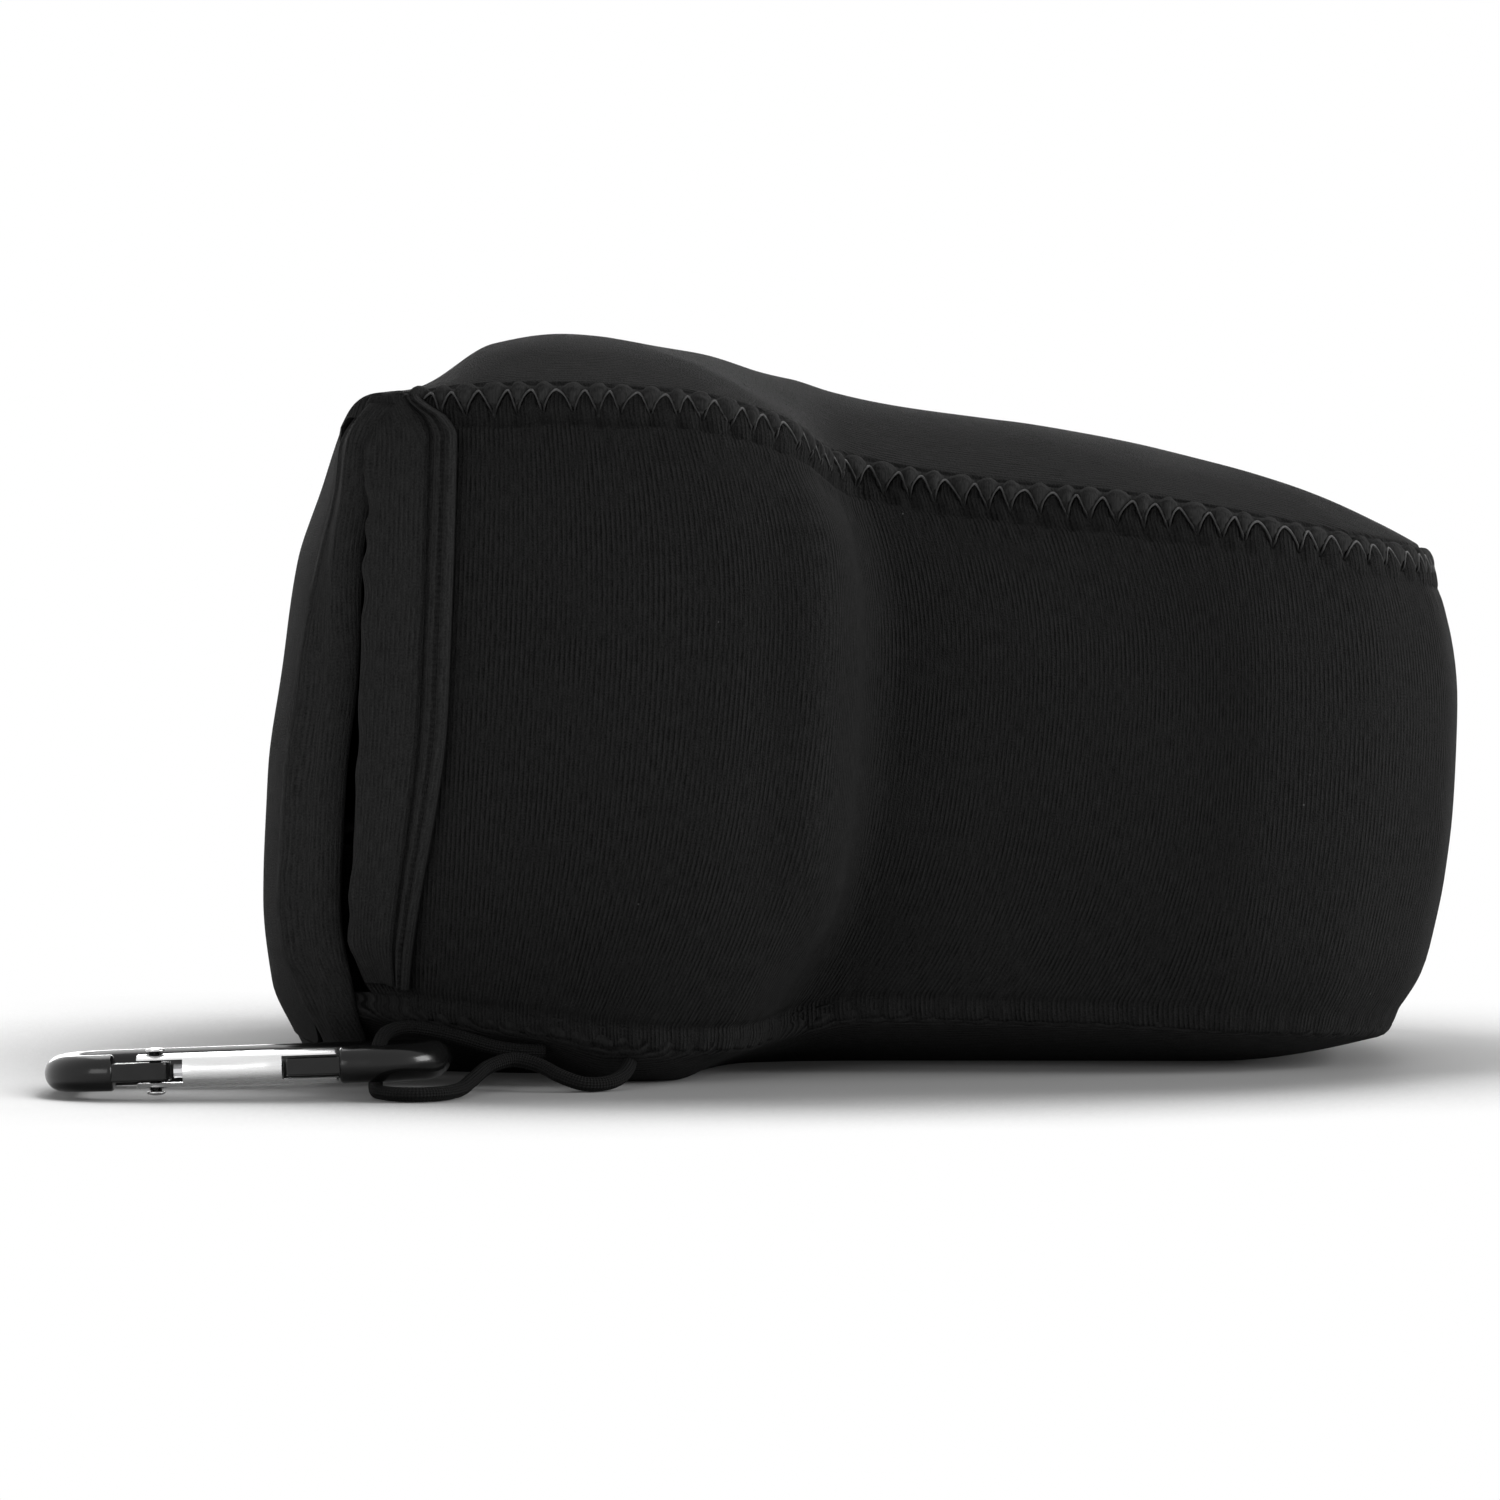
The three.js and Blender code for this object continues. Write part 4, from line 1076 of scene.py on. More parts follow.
def cloth_frame(hanging, bend, panel, lift, thin, first_row):
    """Outward directions, thickness and inner rows of a cloth that hangs, bends and becomes a panel."""
    turned = np.concatenate([np.zeros(len(hanging)), np.linspace(0, 1, len(bend)), np.ones(len(panel))])
    outward = unit(np.column_stack([turned - 1, np.zeros(len(turned)), lift * turned]))[:, None]
    last = panel.shape[1] - 1
    some = np.arange(first_row, last + 1, 4)
    rows = np.unique(np.concatenate([some, [last], 2 * last - some]))
    return outward, lerp(thin, WALL, turned)[:, None, None], rows


FLAP_TURN_Z = 84.2
TOP_ZONE = np.concatenate([np.arange(-1.9, 4.2, 0.25), [4.6, 5.2]])
FIRST_INNER_ROW = 20
FLAP_TURN_PULL = np.array([0.42, 0.0, 0.91]) * 2.6
PANEL_TURN_PULL = np.array([-3.3, 0.0, -0.05])


def add_top_cloth():
    corner, seam_index = top_corner()
    near = half_panel(
        top_outline, top_z, corner, seam_index, SEAM_DROP, seam_t, TOP_ZONE, FRONT_X - 19,
    )
    inside = np.concatenate([TOP_ZONE, np.full(near.shape[1] - len(TOP_ZONE), 30.0)])
    quiet = smoothstep(seam_s, 0.5, 4.0)[:, None]
    relief = panel_relief(seam_s[:, None], inside[None, :], quiet)
    panel = near + grid_normals(near) * relief[..., None]
    hanging = hanging_rows(
        edge_shares(panel), FLAP_HALF_WIDTH - COVER_SIDE_INSET, FLAP_FLOOR_GAP + COVER_BOTTOM_INSET,
        FLAP_CORNER_RADIUS - (COVER_SIDE_INSET + COVER_BOTTOM_INSET) / 2, 16, FLAP_TURN_Z, 72,
    )
    bend = bend_columns(panel[0], hanging[-1], FLAP_TURN_PULL, PANEL_TURN_PULL, 14)[::-1]
    half = np.concatenate([hanging, bend, panel])
    start = len(hanging) + len(bend)
    reach = reach_along(half[:, -1])
    v = np.broadcast_to(reach[:, None], half.shape[:2]).copy()
    v[start:] = panel[..., 0] - panel[0, -1, 0] + reach[start]
    outer = across_both(half)
    uv = np.stack([outer[..., 1], np.concatenate([v, v[:, -2::-1]], axis=1)], -1)
    outward, thickness, rows = cloth_frame(hanging, bend, panel, 1, COVER_THICKNESS, FIRST_INNER_ROW)
    wobble = lumps(outer, (0.4, 30.0, 5.5), (0.1, 11.0, 2.2))
    from_side = np.minimum(np.arange(outer.shape[1]), np.arange(outer.shape[1])[::-1])
    outer = outer + outward * (wobble * smoothstep(from_side, 2, 16)[None, :])[..., None]
    base = across_both(np.concatenate([hanging, bend, near]))
    inner = base[:, rows] - outward * thickness
    cloth = shell("top_cloth", outer, inner, neoprene_top, uv, uv[:, rows], caps=(True, False))
    cloth.data.materials.append(neoprene_seam_painted_light)
    # The top panel's faces within 3 mm of the seam take the lighter copy of the knit: painted light on the
    # puffs.
    fold = np.zeros(outer.shape[:2], bool)
    fold[start:] = np.concatenate([inside, inside[-2::-1]]) < 3.0
    for index in np.flatnonzero(fold[:-1, :-1]):
        cloth.data.polygons[index].material_index = 1
    welded(cloth)
    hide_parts("top_panel", "flap_cover")
    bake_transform(cloth)


add_top_cloth()


# Bottom panel, which turns up at the rear as the lip

def add_bottom_cloth():
    s, t = even_columns(bottom_outline, bottom_seam_z)
    zone = np.arange(-1.3, 4.0, 0.5)
    near = half_panel(
        bottom_outline, bottom_z, bottom_bridge(t), CORNER_MIDDLE, 0.0, t, zone, FRONT_X - 23,
    )
    inside = np.concatenate([zone, np.full(near.shape[1] - len(zone), 30.0)])
    tuck = -LOW_TUCK_DEPTH * (1 - smoothstep(inside, -0.6, 0.5))[None, :]
    gather = UNDER_GATHER_HEIGHT * np.cos(2 * math.pi * s / stitch_pitch)[:, None] * hump(inside, 1.2, 1.2)
    near = near - grid_normals(near) * (tuck + gather)[..., None]
    y = edge_shares(near) * LIP_HALF_WIDTH
    base = bottom_z(np.full(len(y), near[0, 0, 0]), y)
    lip = []
    for level in np.linspace(8, LIP_HEIGHT, 24):
        z = base + level * (1 - base / LIP_HEIGHT)
        lip.append(np.column_stack([flap_x(y, z) + LIP_FACE, y, z]))
    lip = np.array(lip[::-1])
    bend = bend_columns(near[0], lip[-1], np.array([-0.2, 0, -5.0]), np.array([-5.0, 0, 0.0]), 12)[::-1]
    half = np.concatenate([lip, bend, near])
    outer = across_both(half)
    outward, thickness, rows = cloth_frame(lip, bend, near, -1, LIP_THICKNESS, 8)
    inner = outer[:, rows] - outward * thickness
    reach = reach_along(half[:, -1])
    uv = np.stack([outer[..., 1], np.broadcast_to(reach[:, None], outer.shape[:2])], -1)
    cloth = shell("bottom_cloth", outer, inner, neoprene, uv, uv[:, rows], (True, False), flip=True)
    welded(cloth)
    dress(cloth, "bottom_panel", "case")


add_bottom_cloth()


# Folded strips: sections joined along an edge

def add_strip(name, sections, uv, node_name, body):
    """A folded knit strip through equal closed sections."""
    quads, ends = ring_faces(*sections.shape[:2])
    piece = mesh_object(name, sections, quads, binding_knit, ends, np.array(uv))
    dress(turned_out(piece), node_name, body)


def folded_section(outer, face, back, fold, start, end, counts):
    """Section of a strip folded over an edge: outside, fold, back, and the inside of each."""
    way = -np.sign(end)
    middle, half = (face + back) / 2, (back - face) / 2
    return np.concatenate([
        outer,
        arc((0, middle), (way * fold, half + fold), -90, 90, counts[0]),
        level_line(start, end, counts[1], back + fold),
        level_line(end, start, counts[2], back + CLEAR),
        arc((0, middle), (way * CLEAR, half + CLEAR), 90, -90, counts[3]),
        level_line(start, end, counts[4], face - CLEAR),
    ])


def band_skin(t, v):
    """The band's face at one height, carried on over its top corner for v above 1."""
    if v <= 1:
        return band_point(t, np.full(len(t), v))
    return top_bridge(t, np.array([min((v - 1) / 0.08, 1) * 0.75]))[:, 0]


def edge_binding_section():
    """Strip's section: s forward from the band's edge, d out from the band's face."""
    leg = BINDING_OUTER_LEG
    face = CLEAR + BINDING_SKIN
    middle = -WALL / 2
    welt_start = leg - WELT_WIDTH
    ridge_width = 0.26 * WELT_WIDTH
    s = np.linspace(0.4, welt_start - 1.0, 16)
    groove = WELT_GROOVE_DEPTH * np.sin(np.linspace(0.3, 3.0, 5))
    outer = np.concatenate([
        np.column_stack([s, face + 0.10 * np.sin(s * 1.3)]),
        np.column_stack([np.linspace(welt_start - 0.8, welt_start + 0.1, 5), face - groove]),
        arc((leg - 0.74 * WELT_WIDTH, face), (ridge_width, WELT_RISE), 165, 25, 8),
        arc((leg - ridge_width, face), (ridge_width, WELT_RISE + 0.1), 155, -10, 9),
    ])
    return np.concatenate([
        outer[::-1],
        arc((0, middle), (face, WALL / 2 + face), 90, 270, 22),
        level_line(0.6, BINDING_INNER_LEG, 9, -WALL - face),
        level_line(BINDING_INNER_LEG, 0.3, 8, -WALL - CLEAR),
        arc((0, middle), (CLEAR, WALL / 2 + CLEAR), 270, 90, 9),
        level_line(0.5, leg - 0.1, 12, CLEAR),
    ])


def add_edge_binding(name, node_name, side):
    outline = edge_binding_section()
    reach = reach_along(outline)
    forward = np.clip(outline[:, 0], 0, None)
    outside = outline[:, 1] > 0.5
    first_span = np.diff(bulge_outline(np.array([0.0, 1.0 / OUTLINE_SPANS]))[:, 0])[0]
    levels = np.concatenate([np.linspace(0.0, 1.0, 400), np.linspace(1.0, 1.07, 25)[1:]])
    sections = []
    uv = []
    length = 0.0
    for v in levels:
        width = lerp(BINDING_FOOT_SHARE, 1, smoothstep(v, 0, 0.5)) - 0.45 * smoothstep(v, 0.96, 1.07)
        t = forward * width / first_span / OUTLINE_SPANS
        normal = band_normal(t, np.full(len(t), min(v, 1.0)))
        inward_way = np.column_stack([-normal[:, 1], normal[:, 0], np.zeros(len(t))])
        place = band_skin(t, v) + normal * outline[:, 1:2] + inward_way * np.minimum(outline[:, :1], 0)
        place[:, 0] += foot_pull(forward, v)
        if sections:
            length += abs(place[20, 2] - sections[-1][20, 2])
        sections.append(place)
        uv.append(np.column_stack([reach, np.full(len(reach), length)]))
    sections = np.array(sections)
    sections[..., 1] -= lumps(sections, (0.22, 7.0, 11.0), (0.09, 2.6, 4.0)) * outside
    frayed = 0.6 + 1.5 * smoothstep(sections[..., 2], 60, 80)
    sections[..., 0] -= soft_noise(sections, 4.2, 9.0) * frayed * hump(outline[:, 0], -0.6, 0.9)
    valley = hump(outline[:, 0], BINDING_OUTER_LEG - WELT_WIDTH / 2, 0.4)
    stitches = WELT_STITCH_DEPTH * np.sin(sections[..., 2] * 2 * math.pi / WELT_STITCH_PITCH)
    sections[..., 1] -= stitches * valley * outside
    sections[..., 1] *= side
    add_strip(name, sections, uv, node_name, "case")


add_edge_binding("near_binding_strip", "near_edge_binding", 1)
add_edge_binding("far_binding_strip", "far_edge_binding", -1)


def add_lip_binding():
    fold = CLEAR + FLAP_BINDING_SKIN
    outer = level_line(-LIP_BINDING_LEG, -0.2, 8, -fold)
    outline = folded_section(outer, 0, LIP_THICKNESS, fold, -0.2, -LIP_BINDING_LEG, (14, 8, 6, 6, 6))
    reach = reach_along(outline)
    z = LIP_HEIGHT + outline[:, 0]
    sections = []
    uv = []
    for y in np.linspace(-LIP_HALF_WIDTH, LIP_HALF_WIDTH, 120):
        x = flap_x(y, np.minimum(z, LIP_HEIGHT)) + LIP_FACE + outline[:, 1]
        sections.append(np.column_stack([x, np.full(len(z), y), z]))
        uv.append(np.column_stack([np.full(len(z), y), reach]))
    sections = np.array(sections)
    sections[..., 0] += lumps(sections, (0.12, 5.0, 6.0))
    add_strip("lip_binding_strip", sections, uv, "lip_binding", "case")


add_lip_binding()


# Flap core, its folded strip and the closure

def add_flap_core():
    inset = 2 * CLEAR + FLAP_BINDING_SKIN
    grid = hanging_rows(
        np.linspace(-1, 1, 49), FLAP_HALF_WIDTH - inset, FLAP_FLOOR_GAP + inset,
        FLAP_CORNER_RADIUS - inset, 12, FLAP_CORE_TOP + 1.2, 40,
    )
    uv = grid[..., 1:]
    outer, inner = [grid + np.array([depth, 0, 0]) for depth in (CORE_FACE, CORE_BACK)]
    core = shell("flap_core", outer, inner, lining, uv, uv)
    dress(turned_out(core), "rear_flap", "flap")


add_flap_core()


def flap_edge_path(inset, top, step):
    half = FLAP_HALF_WIDTH - inset
    foot = FLAP_FLOOR_GAP + inset
    radius = FLAP_CORNER_RADIUS - inset
    side = [(-half, z) for z in np.arange(top, foot + radius, -step)]
    turns = np.linspace(0, math.pi / 2, int(radius * 1.6 / step))
    corner = [(-half + radius * (1 - math.cos(a)), foot + radius * (1 - math.sin(a))) for a in turns]
    low = [(y, foot) for y in np.arange(-half + radius + step, -step / 2, step)]
    near = side + corner + low
    return np.array(near + [(0.0, foot)] + [(-y, z) for y, z in near[::-1]])


def add_flap_binding():
    fold = CLEAR + FLAP_BINDING_SKIN
    roll = np.concatenate([[1, 0.992, 0.97, 0.94, 0.9], np.linspace(0.86, 0.03, 20)])
    outer = np.column_stack([roll, np.full(len(roll), CORE_FACE - fold)])
    outline = folded_section(outer, CORE_FACE, CORE_BACK, fold, 0.03, 1, (20, 12, 8, 7, 8))
    outside = outline[:, 1] < CORE_FACE
    path = flap_edge_path(fold, FLAP_CORE_TOP + FLAP_BINDING_RISE, 0.9)
    along = unit(np.gradient(path, axis=0))
    inwards = np.column_stack([-along[:, 1], along[:, 0]])
    level = np.abs(along[:, 0])
    sections = []
    uv = []
    for point, way, flat, far in zip(path, inwards, level, reach_along(path)):
        high = smoothstep(point[1], 52, 64)
        leg = lerp(COVER_SIDE_INSET, COVER_BOTTOM_INSET, flat) - fold - CLEAR
        leg += FLAP_BINDING_WIDENS * high
        s = np.where(outline[:, 0] > 0, outline[:, 0] * leg, outline[:, 0])
        place = point + way * s[:, None]
        place[:, 1] = np.maximum(place[:, 1], 0.25)
        lap = FLAP_BINDING_LAP * high * outside * (s > leg - 2.4)
        x = flap_x(place[:, 0], place[:, 1]) + outline[:, 1] - lap
        sections.append(np.column_stack([x, place]))
        uv.append(np.column_stack([reach_along(np.column_stack([s, outline[:, 1]])), np.full(len(s), far)]))
    sections = np.array(sections)
    share = np.where(outline[:, 1] < CORE_FACE - fold + 0.01, outline[:, 0], 0)
    rounded = np.sqrt(1 - np.clip((share - 0.9) / 0.1, 0, 1) ** 2)
    fade = smoothstep(sections[..., 2], FLAP_ROLL_FADES, FLAP_ROLL_ENDS)
    height = lerp(FLAP_ROLL, 0.0, fade) * (1 - level)[:, None]
    sections[..., 0] -= height * smoothstep(share, 0, 0.7) * rounded
    sections[..., 0] -= lumps(sections, (0.22, 6.0, 14.0), (0.10, 2.4, 3.0)) * outside
    sections[..., 0] += FLAP_CURL * np.clip(sections[..., 2] - FLAP_CURL_STARTS, 0, None) ** 2
    add_strip("flap_binding_strip", sections, uv, "flap_edge_binding", "flap")


add_flap_binding()


def add_closure(name, node_name, body, material, depth):
    ys = np.linspace(-STRIP_HALF_WIDTH, STRIP_HALF_WIDTH, 153)
    y, z = np.meshgrid(ys, np.linspace(STRIP_BOTTOM, STRIP_BOTTOM + STRIP_HEIGHT, 25))
    face, back = [np.stack([flap_x(y, z) + d, y, z], -1) for d in (depth, depth + STRIP_THICKNESS)]
    strip = shell(name, face, back, material, face[..., 1:], face[..., 1:])
    dress(turned_out(strip), node_name, body)


add_closure("hook_strip", "flap_hook_strip", "flap", hook_pile, HOOK_FACE)
add_closure("loop_strip", "lip_loop_strip", "case", loop_pile, LOOP_FACE)


# Stitches of the top seam

def add_threads():
    across = np.arange(-1.9, 2.11, 0.1)
    lines, seam_index = top_corner()
    grid = np.array([
        resampled(line, reach_along(line)[seam_index] - SEAM_DROP - across) for line in lines
    ])
    s = np.arange(THREAD_START, SEAM_LENGTH, THREAD_STEP)
    place = arch_place(s)
    column = np.interp(s, seam_s, np.arange(len(seam_s)))
    row = np.interp(arch_line(s), across, np.arange(len(across)))
    i = np.clip(column.astype(int), 0, len(seam_s) - 2)
    j = np.clip(row.astype(int), 0, len(across) - 2)
    f = (column - i)[:, None]
    g = (row - j)[:, None]

    def read(field):
        low = lerp(field[i, j], field[i + 1, j], f)
        high = lerp(field[i, j + 1], field[i + 1, j + 1], f)
        return lerp(low, high, g)

    lift = THREAD_LIFT - THREAD_SINK * smoothstep(place, 0.78, 1.0)
    route = read(grid) - unit(read(grid_normals(grid))) * lift[:, None]
    radii = THREAD_RADIUS * (1 - 0.35 * smoothstep(place, 0.8, 1.0))
    along = stitch_turns(s) * STITCH_PITCH
    for name, side in (("near_seam_thread", 1), ("far_seam_thread", -1)):
        line = route * np.array([1, side, 1])
        piece = tube_mesh(name, line, THREAD_RADIUS, 6, thread, radii, along)
        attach(turned_out(piece), "case")


add_threads()


# Carabiner: finer meshes than the solids that they stand in for

CARABINER_PLACE = np.array([-78.2, -66.0, 3.5])
CARABINER_PITCH = math.radians(2.0)
CARABINER_ROLL = math.radians(2.6)
BAR_RADIUS = 2.3
CARABINER_LENGTH = 51.0
CARABINER_WIDTH = 24.0
HALF_LENGTH = CARABINER_LENGTH / 2 - BAR_RADIUS
HALF_WIDTH = CARABINER_WIDTH / 2 - BAR_RADIUS
CORNER_RADIUS = 7.0
HINGE_X = -11.0
TONGUE_RADIUS = 2.0
TONGUE_THICKNESS = 2.3
GATE_RADIUS = 2.2
GATE_Y = -HALF_WIDTH
GATE_SLOT = TONGUE_THICKNESS + 0.6
GATE_START = HINGE_X - TONGUE_RADIUS - CLEAR
GATE_END = HINGE_X + 22.8
BAR_HINGE_END = GATE_START - 2.9
BAR_NOSE_END = GATE_END + 0.3
NOSE_TONGUE_TIP = BAR_NOSE_END - 6.7
NOSE_TONGUE_HALF = 1.6
RIVET_RADIUS = 0.75
RIVET_HEAD_RADIUS = 1.2
RIVET_HEAD_THICKNESS = 0.5
SPRING_BORE_RADIUS = 1.2
SPRING_BORE_DEPTH = 10.5
TONGUE_ROOT = 1.5
BAR_EDGE = 0.45
GATE_EDGE = 0.3
TONGUE_EDGE = 0.25
CUT_EDGE = 0.09


def turned_matrix():
    """The carabiner's own frame in the frame of the case, in metres."""
    roll = Matrix.Rotation(-CARABINER_ROLL, 4, "X")
    pitch = Matrix.Rotation(-CARABINER_PITCH, 4, "Y")
    return Matrix.Translation(Vector(CARABINER_PLACE) * MM) @ roll @ pitch


def ring_route():
    """Middle line of the bent bar, from the hinge end round the ring to the nose."""
    x = HALF_LENGTH - CORNER_RADIUS
    y = HALF_WIDTH - CORNER_RADIUS
    corners = [((-x, -y), 270, 180), ((-x, y), 180, 90), ((x, y), 90, 0), ((x, -y), 0, -90)]
    bends = [arc(center, (CORNER_RADIUS, CORNER_RADIUS), start, end, 25) for center, start, end in corners]
    points = np.concatenate([[(BAR_HINGE_END, GATE_Y)], *bends, [(BAR_NOSE_END, GATE_Y)]])
    line = np.column_stack([points, np.zeros(len(points))])
    return resampled(line, np.linspace(0, reach_along(line)[-1], 150))


def rounded_ends(route, radius, edge):
    """A bar's middle line and radii, with a round edge at both ends."""
    turn = np.linspace(0, math.pi / 2, 6)
    inset = edge * (1 - np.cos(turn))[:, None]
    first = route[0] + unit(route[1] - route[0]) * inset
    last = route[-1] + unit(route[-2] - route[-1]) * inset[::-1]
    rim = radius - edge + edge * np.sin(turn)
    radii = np.concatenate([rim, np.full(len(route) - 4, radius), rim[::-1]])
    return np.concatenate([first, route[2:-2], last]), radii


def lathe(name, center, profile, sides, material):
    """A round piece about a line along z; the profile holds radii and heights."""
    angles = np.arange(sides) * 2 * math.pi / sides
    x, y = np.cos(angles), np.sin(angles)
    rings = [
        np.column_stack([center[0] + radius * x, center[1] + radius * y, np.full(sides, z)])
        for radius, z in profile
    ]
    quads, ends = ring_faces(len(rings), sides)
    return mesh_object(name, np.array(rings), quads, material, ends)


def bevelled_plate(outline, thickness, edge):
    """A flat plate across z with rounded edges, as a mesh."""
    data = bmesh.new()
    low = [data.verts.new((x * MM, y * MM, -thickness / 2 * MM)) for x, y in outline]
    face = data.faces.new(low)
    made = bmesh.ops.extrude_face_region(data, geom=[face])
    moved = [item for item in made["geom"] if isinstance(item, bmesh.types.BMVert)]
    bmesh.ops.translate(data, verts=moved, vec=(0, 0, thickness * MM))
    bmesh.ops.recalc_face_normals(data, faces=data.faces)
    sharp = [e for e in data.edges if e.calc_face_angle(0) > 0.9]
    bmesh.ops.bevel(data, geom=sharp, offset=edge * MM, segments=3, profile=0.5, affect="EDGES")
    return data


def add_to(data, piece):
    """Adds a bmesh to a piece's mesh."""
    both = bmesh.new()
    both.from_mesh(piece.data)
    extra = bpy.data.meshes.new("extra")
    data.to_mesh(extra)
    both.from_mesh(extra)
    both.to_mesh(piece.data)
    data.free()
    both.free()
    bpy.data.meshes.remove(extra)


def seated(piece, node_name, body):
    piece.data.transform(turned_matrix())
    dress(turned_out(piece), node_name, body)


def add_ring():
    """The bent bar with its hinge tongue and its nose tongue."""
    route, radii = rounded_ends(ring_route(), BAR_RADIUS, BAR_EDGE)
    bar = tube_mesh("carabiner_ring", route, BAR_RADIUS, 40, black_metal, radii)
    turns = np.radians(np.linspace(-90, 90, 21))
    back = BAR_HINGE_END - TONGUE_ROOT
    hinge = [(back, GATE_Y + TONGUE_RADIUS), (back, GATE_Y - TONGUE_RADIUS)]
    hinge += [(HINGE_X + TONGUE_RADIUS * math.cos(a), GATE_Y + TONGUE_RADIUS * math.sin(a)) for a in turns]
    nose = [
        (BAR_NOSE_END + TONGUE_ROOT, GATE_Y - NOSE_TONGUE_HALF),
        (BAR_NOSE_END + TONGUE_ROOT, GATE_Y + NOSE_TONGUE_HALF),
        (NOSE_TONGUE_TIP + 1, GATE_Y + NOSE_TONGUE_HALF),
        (NOSE_TONGUE_TIP, GATE_Y + NOSE_TONGUE_HALF / 2),
        (NOSE_TONGUE_TIP, GATE_Y - NOSE_TONGUE_HALF),
    ]
    for outline in (hinge, nose):
        add_to(bevelled_plate(outline, TONGUE_THICKNESS, TONGUE_EDGE), bar)
    seated(bar, "carabiner_body", "carabiner")


def cut_away(piece, cutters):
    """Takes the cutters out of a piece."""
    for cutter in cutters:
        cut = piece.modifiers.new("cut", "BOOLEAN")
        cut.operation = "DIFFERENCE"
        cut.solver = "EXACT"
        cut.object = cutter
    bevel = piece.modifiers.new("bevel", "BEVEL")
    bevel.width = CUT_EDGE * MM
    bevel.segments = 2
    bevel.limit_method = "ANGLE"
    bevel.angle_limit = math.radians(50)
    graph = bpy.context.evaluated_depsgraph_get()
    done = bpy.data.meshes.new_from_object(piece.evaluated_get(graph))
    piece.modifiers.clear()
    piece.data = done
    for cutter in cutters:
        bpy.data.objects.remove(cutter)


def box_cutter(low, high):
    corners = [(x, y, z) for x in (low[0], high[0]) for y in (low[1], high[1]) for z in (low[2], high[2])]
    quads = [(0, 1, 3, 2), (4, 6, 7, 5), (0, 4, 5, 1), (2, 3, 7, 6), (0, 2, 6, 4), (1, 5, 7, 3)]
    return turned_out(mesh_object("cutter", corners, quads, aluminium))


def add_gate():
    """The tube that shuts the ring, slotted at both ends and bored for its rivet and its spring."""
    line = np.column_stack([level_line(GATE_START, GATE_END, 12, GATE_Y), np.zeros(12)])
    line, radii = rounded_ends(line, GATE_RADIUS, GATE_EDGE)
    gate = tube_mesh("gate_tube", line, GATE_RADIUS, 64, aluminium, radii)
    turned_out(gate)
    reach = GATE_RADIUS + 1
    half = GATE_SLOT / 2
    slot_end = HINGE_X + TONGUE_RADIUS + 1.5
    bore = [(slot_end - 1, GATE_Y, 0), (slot_end + SPRING_BORE_DEPTH, GATE_Y, 0)]
    cut_away(gate, [
        box_cutter((GATE_START - 1, GATE_Y - reach, -half), (slot_end, GATE_Y + reach, half)),
        box_cutter((NOSE_TONGUE_TIP - 0.5, GATE_Y - reach, -half), (GATE_END + 1, GATE_Y + reach, half)),
        lathe("cutter", (HINGE_X, GATE_Y), [(RIVET_RADIUS + CLEAR, z) for z in (-4, 4)], 32, aluminium),
        tube_mesh("cutter", bore, SPRING_BORE_RADIUS, 24, aluminium),
    ])
    seated(gate, "carabiner_gate", "gate")


def add_rivet():
    seat = GATE_RADIUS + CLEAR
    rim = seat + RIVET_HEAD_THICKNESS * 0.3
    half = [(RIVET_RADIUS, seat - 0.01), (RIVET_HEAD_RADIUS - 0.08, seat), (RIVET_HEAD_RADIUS, seat + 0.06)]
    for turn in np.linspace(0, math.pi / 2 - 0.1, 7):
        height = rim + RIVET_HEAD_THICKNESS * 0.7 * math.sin(turn)
        half.append((RIVET_HEAD_RADIUS * math.cos(turn), height))
    profile = [(radius, -height) for radius, height in half[::-1]] + half
    rivet = lathe("rivet_pin", (HINGE_X, GATE_Y), profile, 32, steel)
    seated(rivet, "gate_rivet", "carabiner")


add_ring()
add_gate()
add_rivet()


# Floor, background and light

FLOOR_HALF_SIZE = 2500.0
FLOOR_TONE = 0.86
FLOOR_SEEN_TONE = 0.5
SHADOW_REACH = 0.08
SHADOW_DEEP = 0.7
SHADOW_NONE = 0.92
ROOM_LIGHT = 0.2


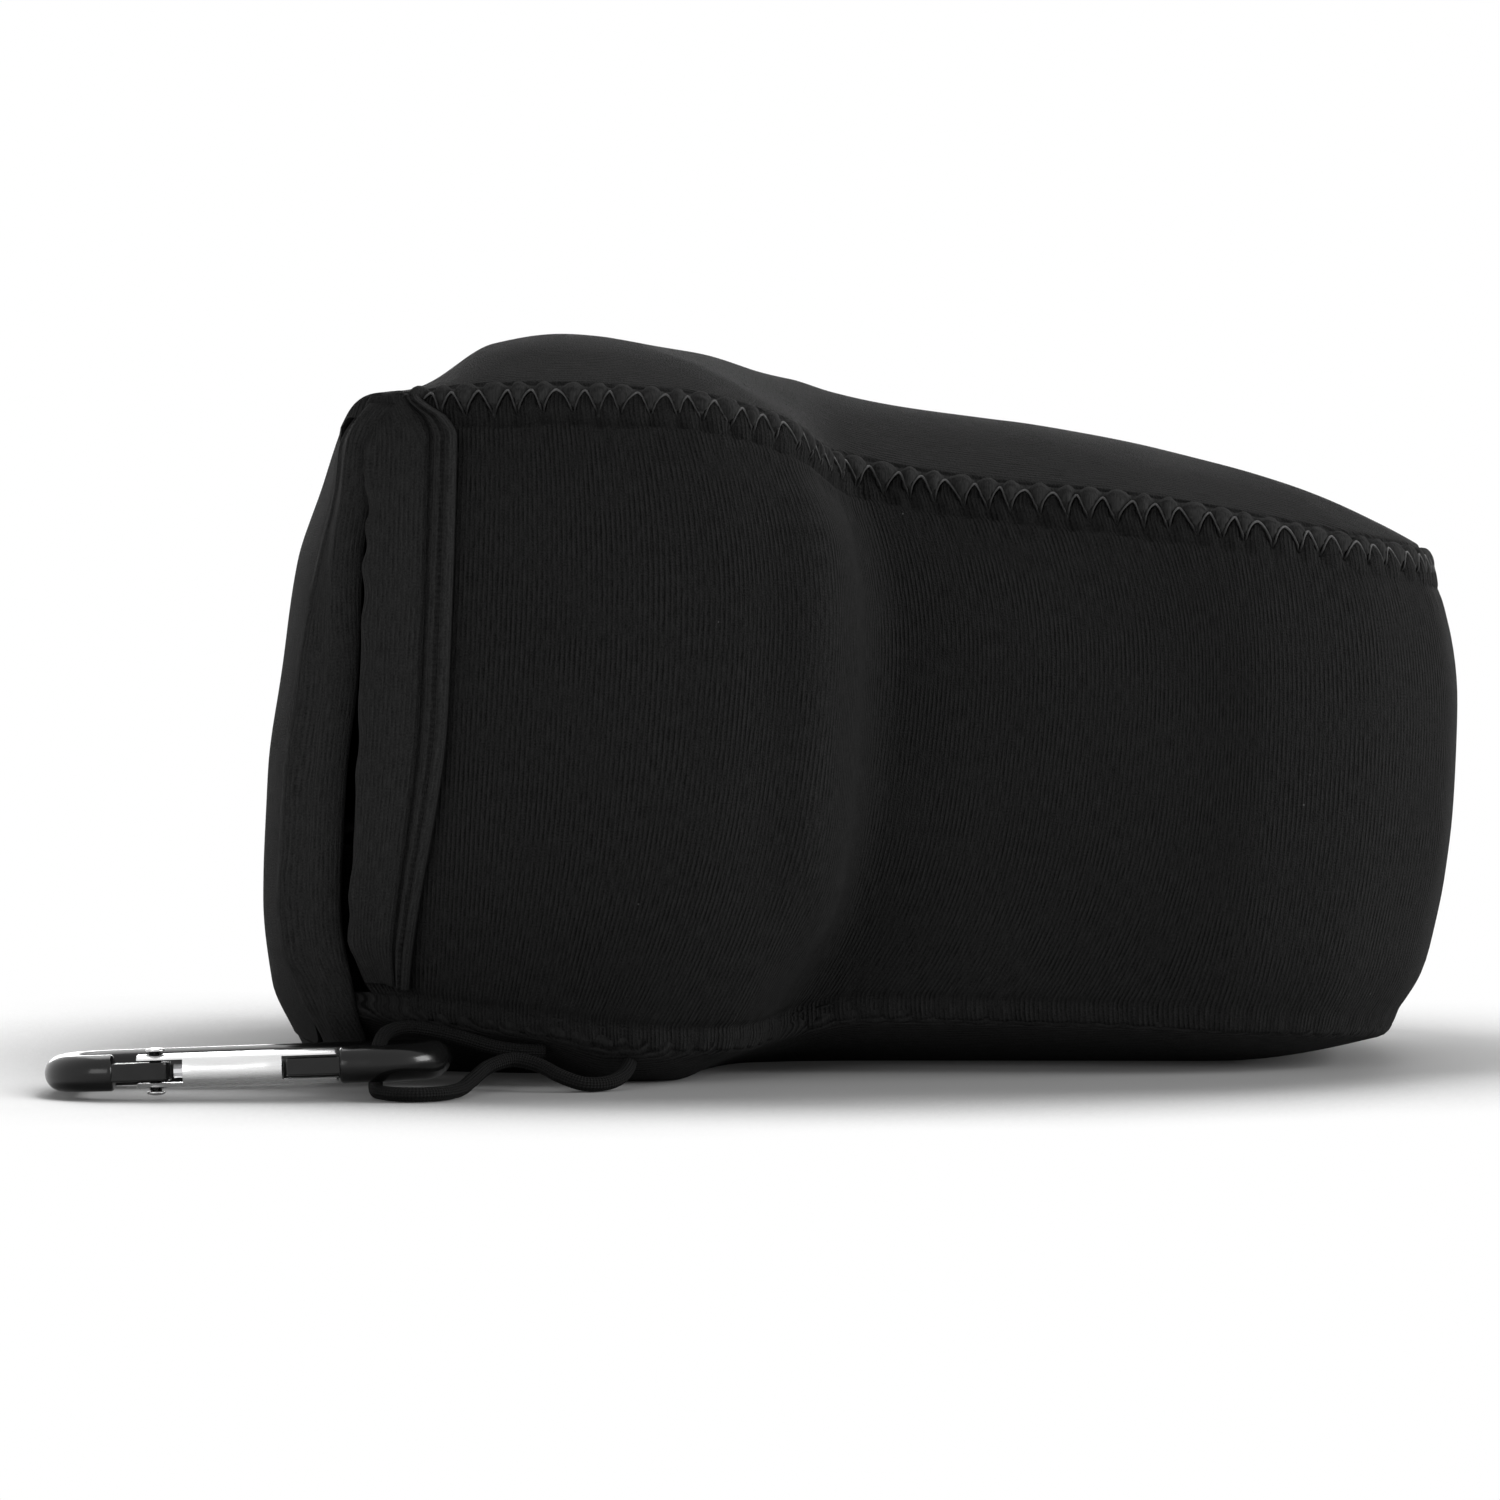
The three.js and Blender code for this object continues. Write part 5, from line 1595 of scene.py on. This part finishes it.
def add_floor():
    """White where nothing stands near. Round the object's foot the lamps' own shadow shows, deepened by
    painted shadow: the camera sees a lower floor tone there, and ambient occlusion sets how far it reaches.
    """
    size = FLOOR_HALF_SIZE
    points = [(-size, -size, 0), (size, -size, 0), (size, size, 0), (-size, size, 0)]
    w = new_material("floor_white")
    seen = w.seen()
    # The camera sees a lower floor tone than the light that bounces off it, which deepens the shadow:
    # painted shade.
    w.finish(w.mixed(seen, grey(FLOOR_TONE), grey(FLOOR_SEEN_TONE)), 0.9, specular=0.1)
    shader = w.tree.nodes["Principled BSDF"]
    w.put(grey(1.0), shader.inputs["Emission Color"])
    w.put(w.math("MULTIPLY", seen, 0.01), shader.inputs["Emission Strength"])
    # Ambient occlusion picks where the floor turns white and where the darker lit floor shows: a painted
    # contact shadow round the object's foot.
    nearness = w.add("AmbientOcclusion", "AO", {"Distance": SHADOW_REACH}, samples=16)
    open_floor = w.spread(nearness, SHADOW_DEEP, SHADOW_NONE)
    white = w.add("Emission", 0, {})
    inputs = {0: w.math("MULTIPLY", seen, open_floor), 1: shader.outputs[0], 2: white}
    w.put(w.add("MixShader", 0, inputs), w.tree.nodes["Material Output"].inputs["Surface"])
    mesh_object("floor", points, [(0, 1, 2, 3)], w.owner)


def add_world():
    world = bpy.data.worlds.new("world")
    w = Wires(world)
    background = w.tree.nodes["Background"]
    w.put(grey(1.0), background.inputs["Color"])
    w.put(w.spread(w.seen(), 0.0, 1.0, ROOM_LIGHT, 1.0), background.inputs["Strength"])
    bpy.context.scene.world = world


def add_area(name, place, target, size, power):
    data = bpy.data.lights.new(name, "AREA")
    data.shape = "RECTANGLE"
    data.size, data.size_y = size
    data.energy = power
    lamp = bpy.data.objects.new(name, data)
    lamp.location = place
    aim = Vector(target) - Vector(place)
    lamp.rotation_euler = aim.to_track_quat("-Z", "Y").to_euler()
    bpy.context.collection.objects.link(lamp)


add_floor()
add_world()
add_area("top_light", (0.05, 0.75, 1.15), (0, 0, 0.05), (1.2, 1.0), 11.0)
add_area("back_light", (0.0, 1.5, 0.32), (0, 0, 0.09), (1.4, 0.3), 10.0)
add_area("front_left", (-0.6, -1.1, 0.35), (0, 0, 0.05), (0.7, 0.5), 3.4)
add_area("right_side", (1.15, -0.17, 0.4), (0, 0, 0.05), (0.6, 0.5), 9.5)

bpy.context.scene.view_settings.view_transform = "Standard"
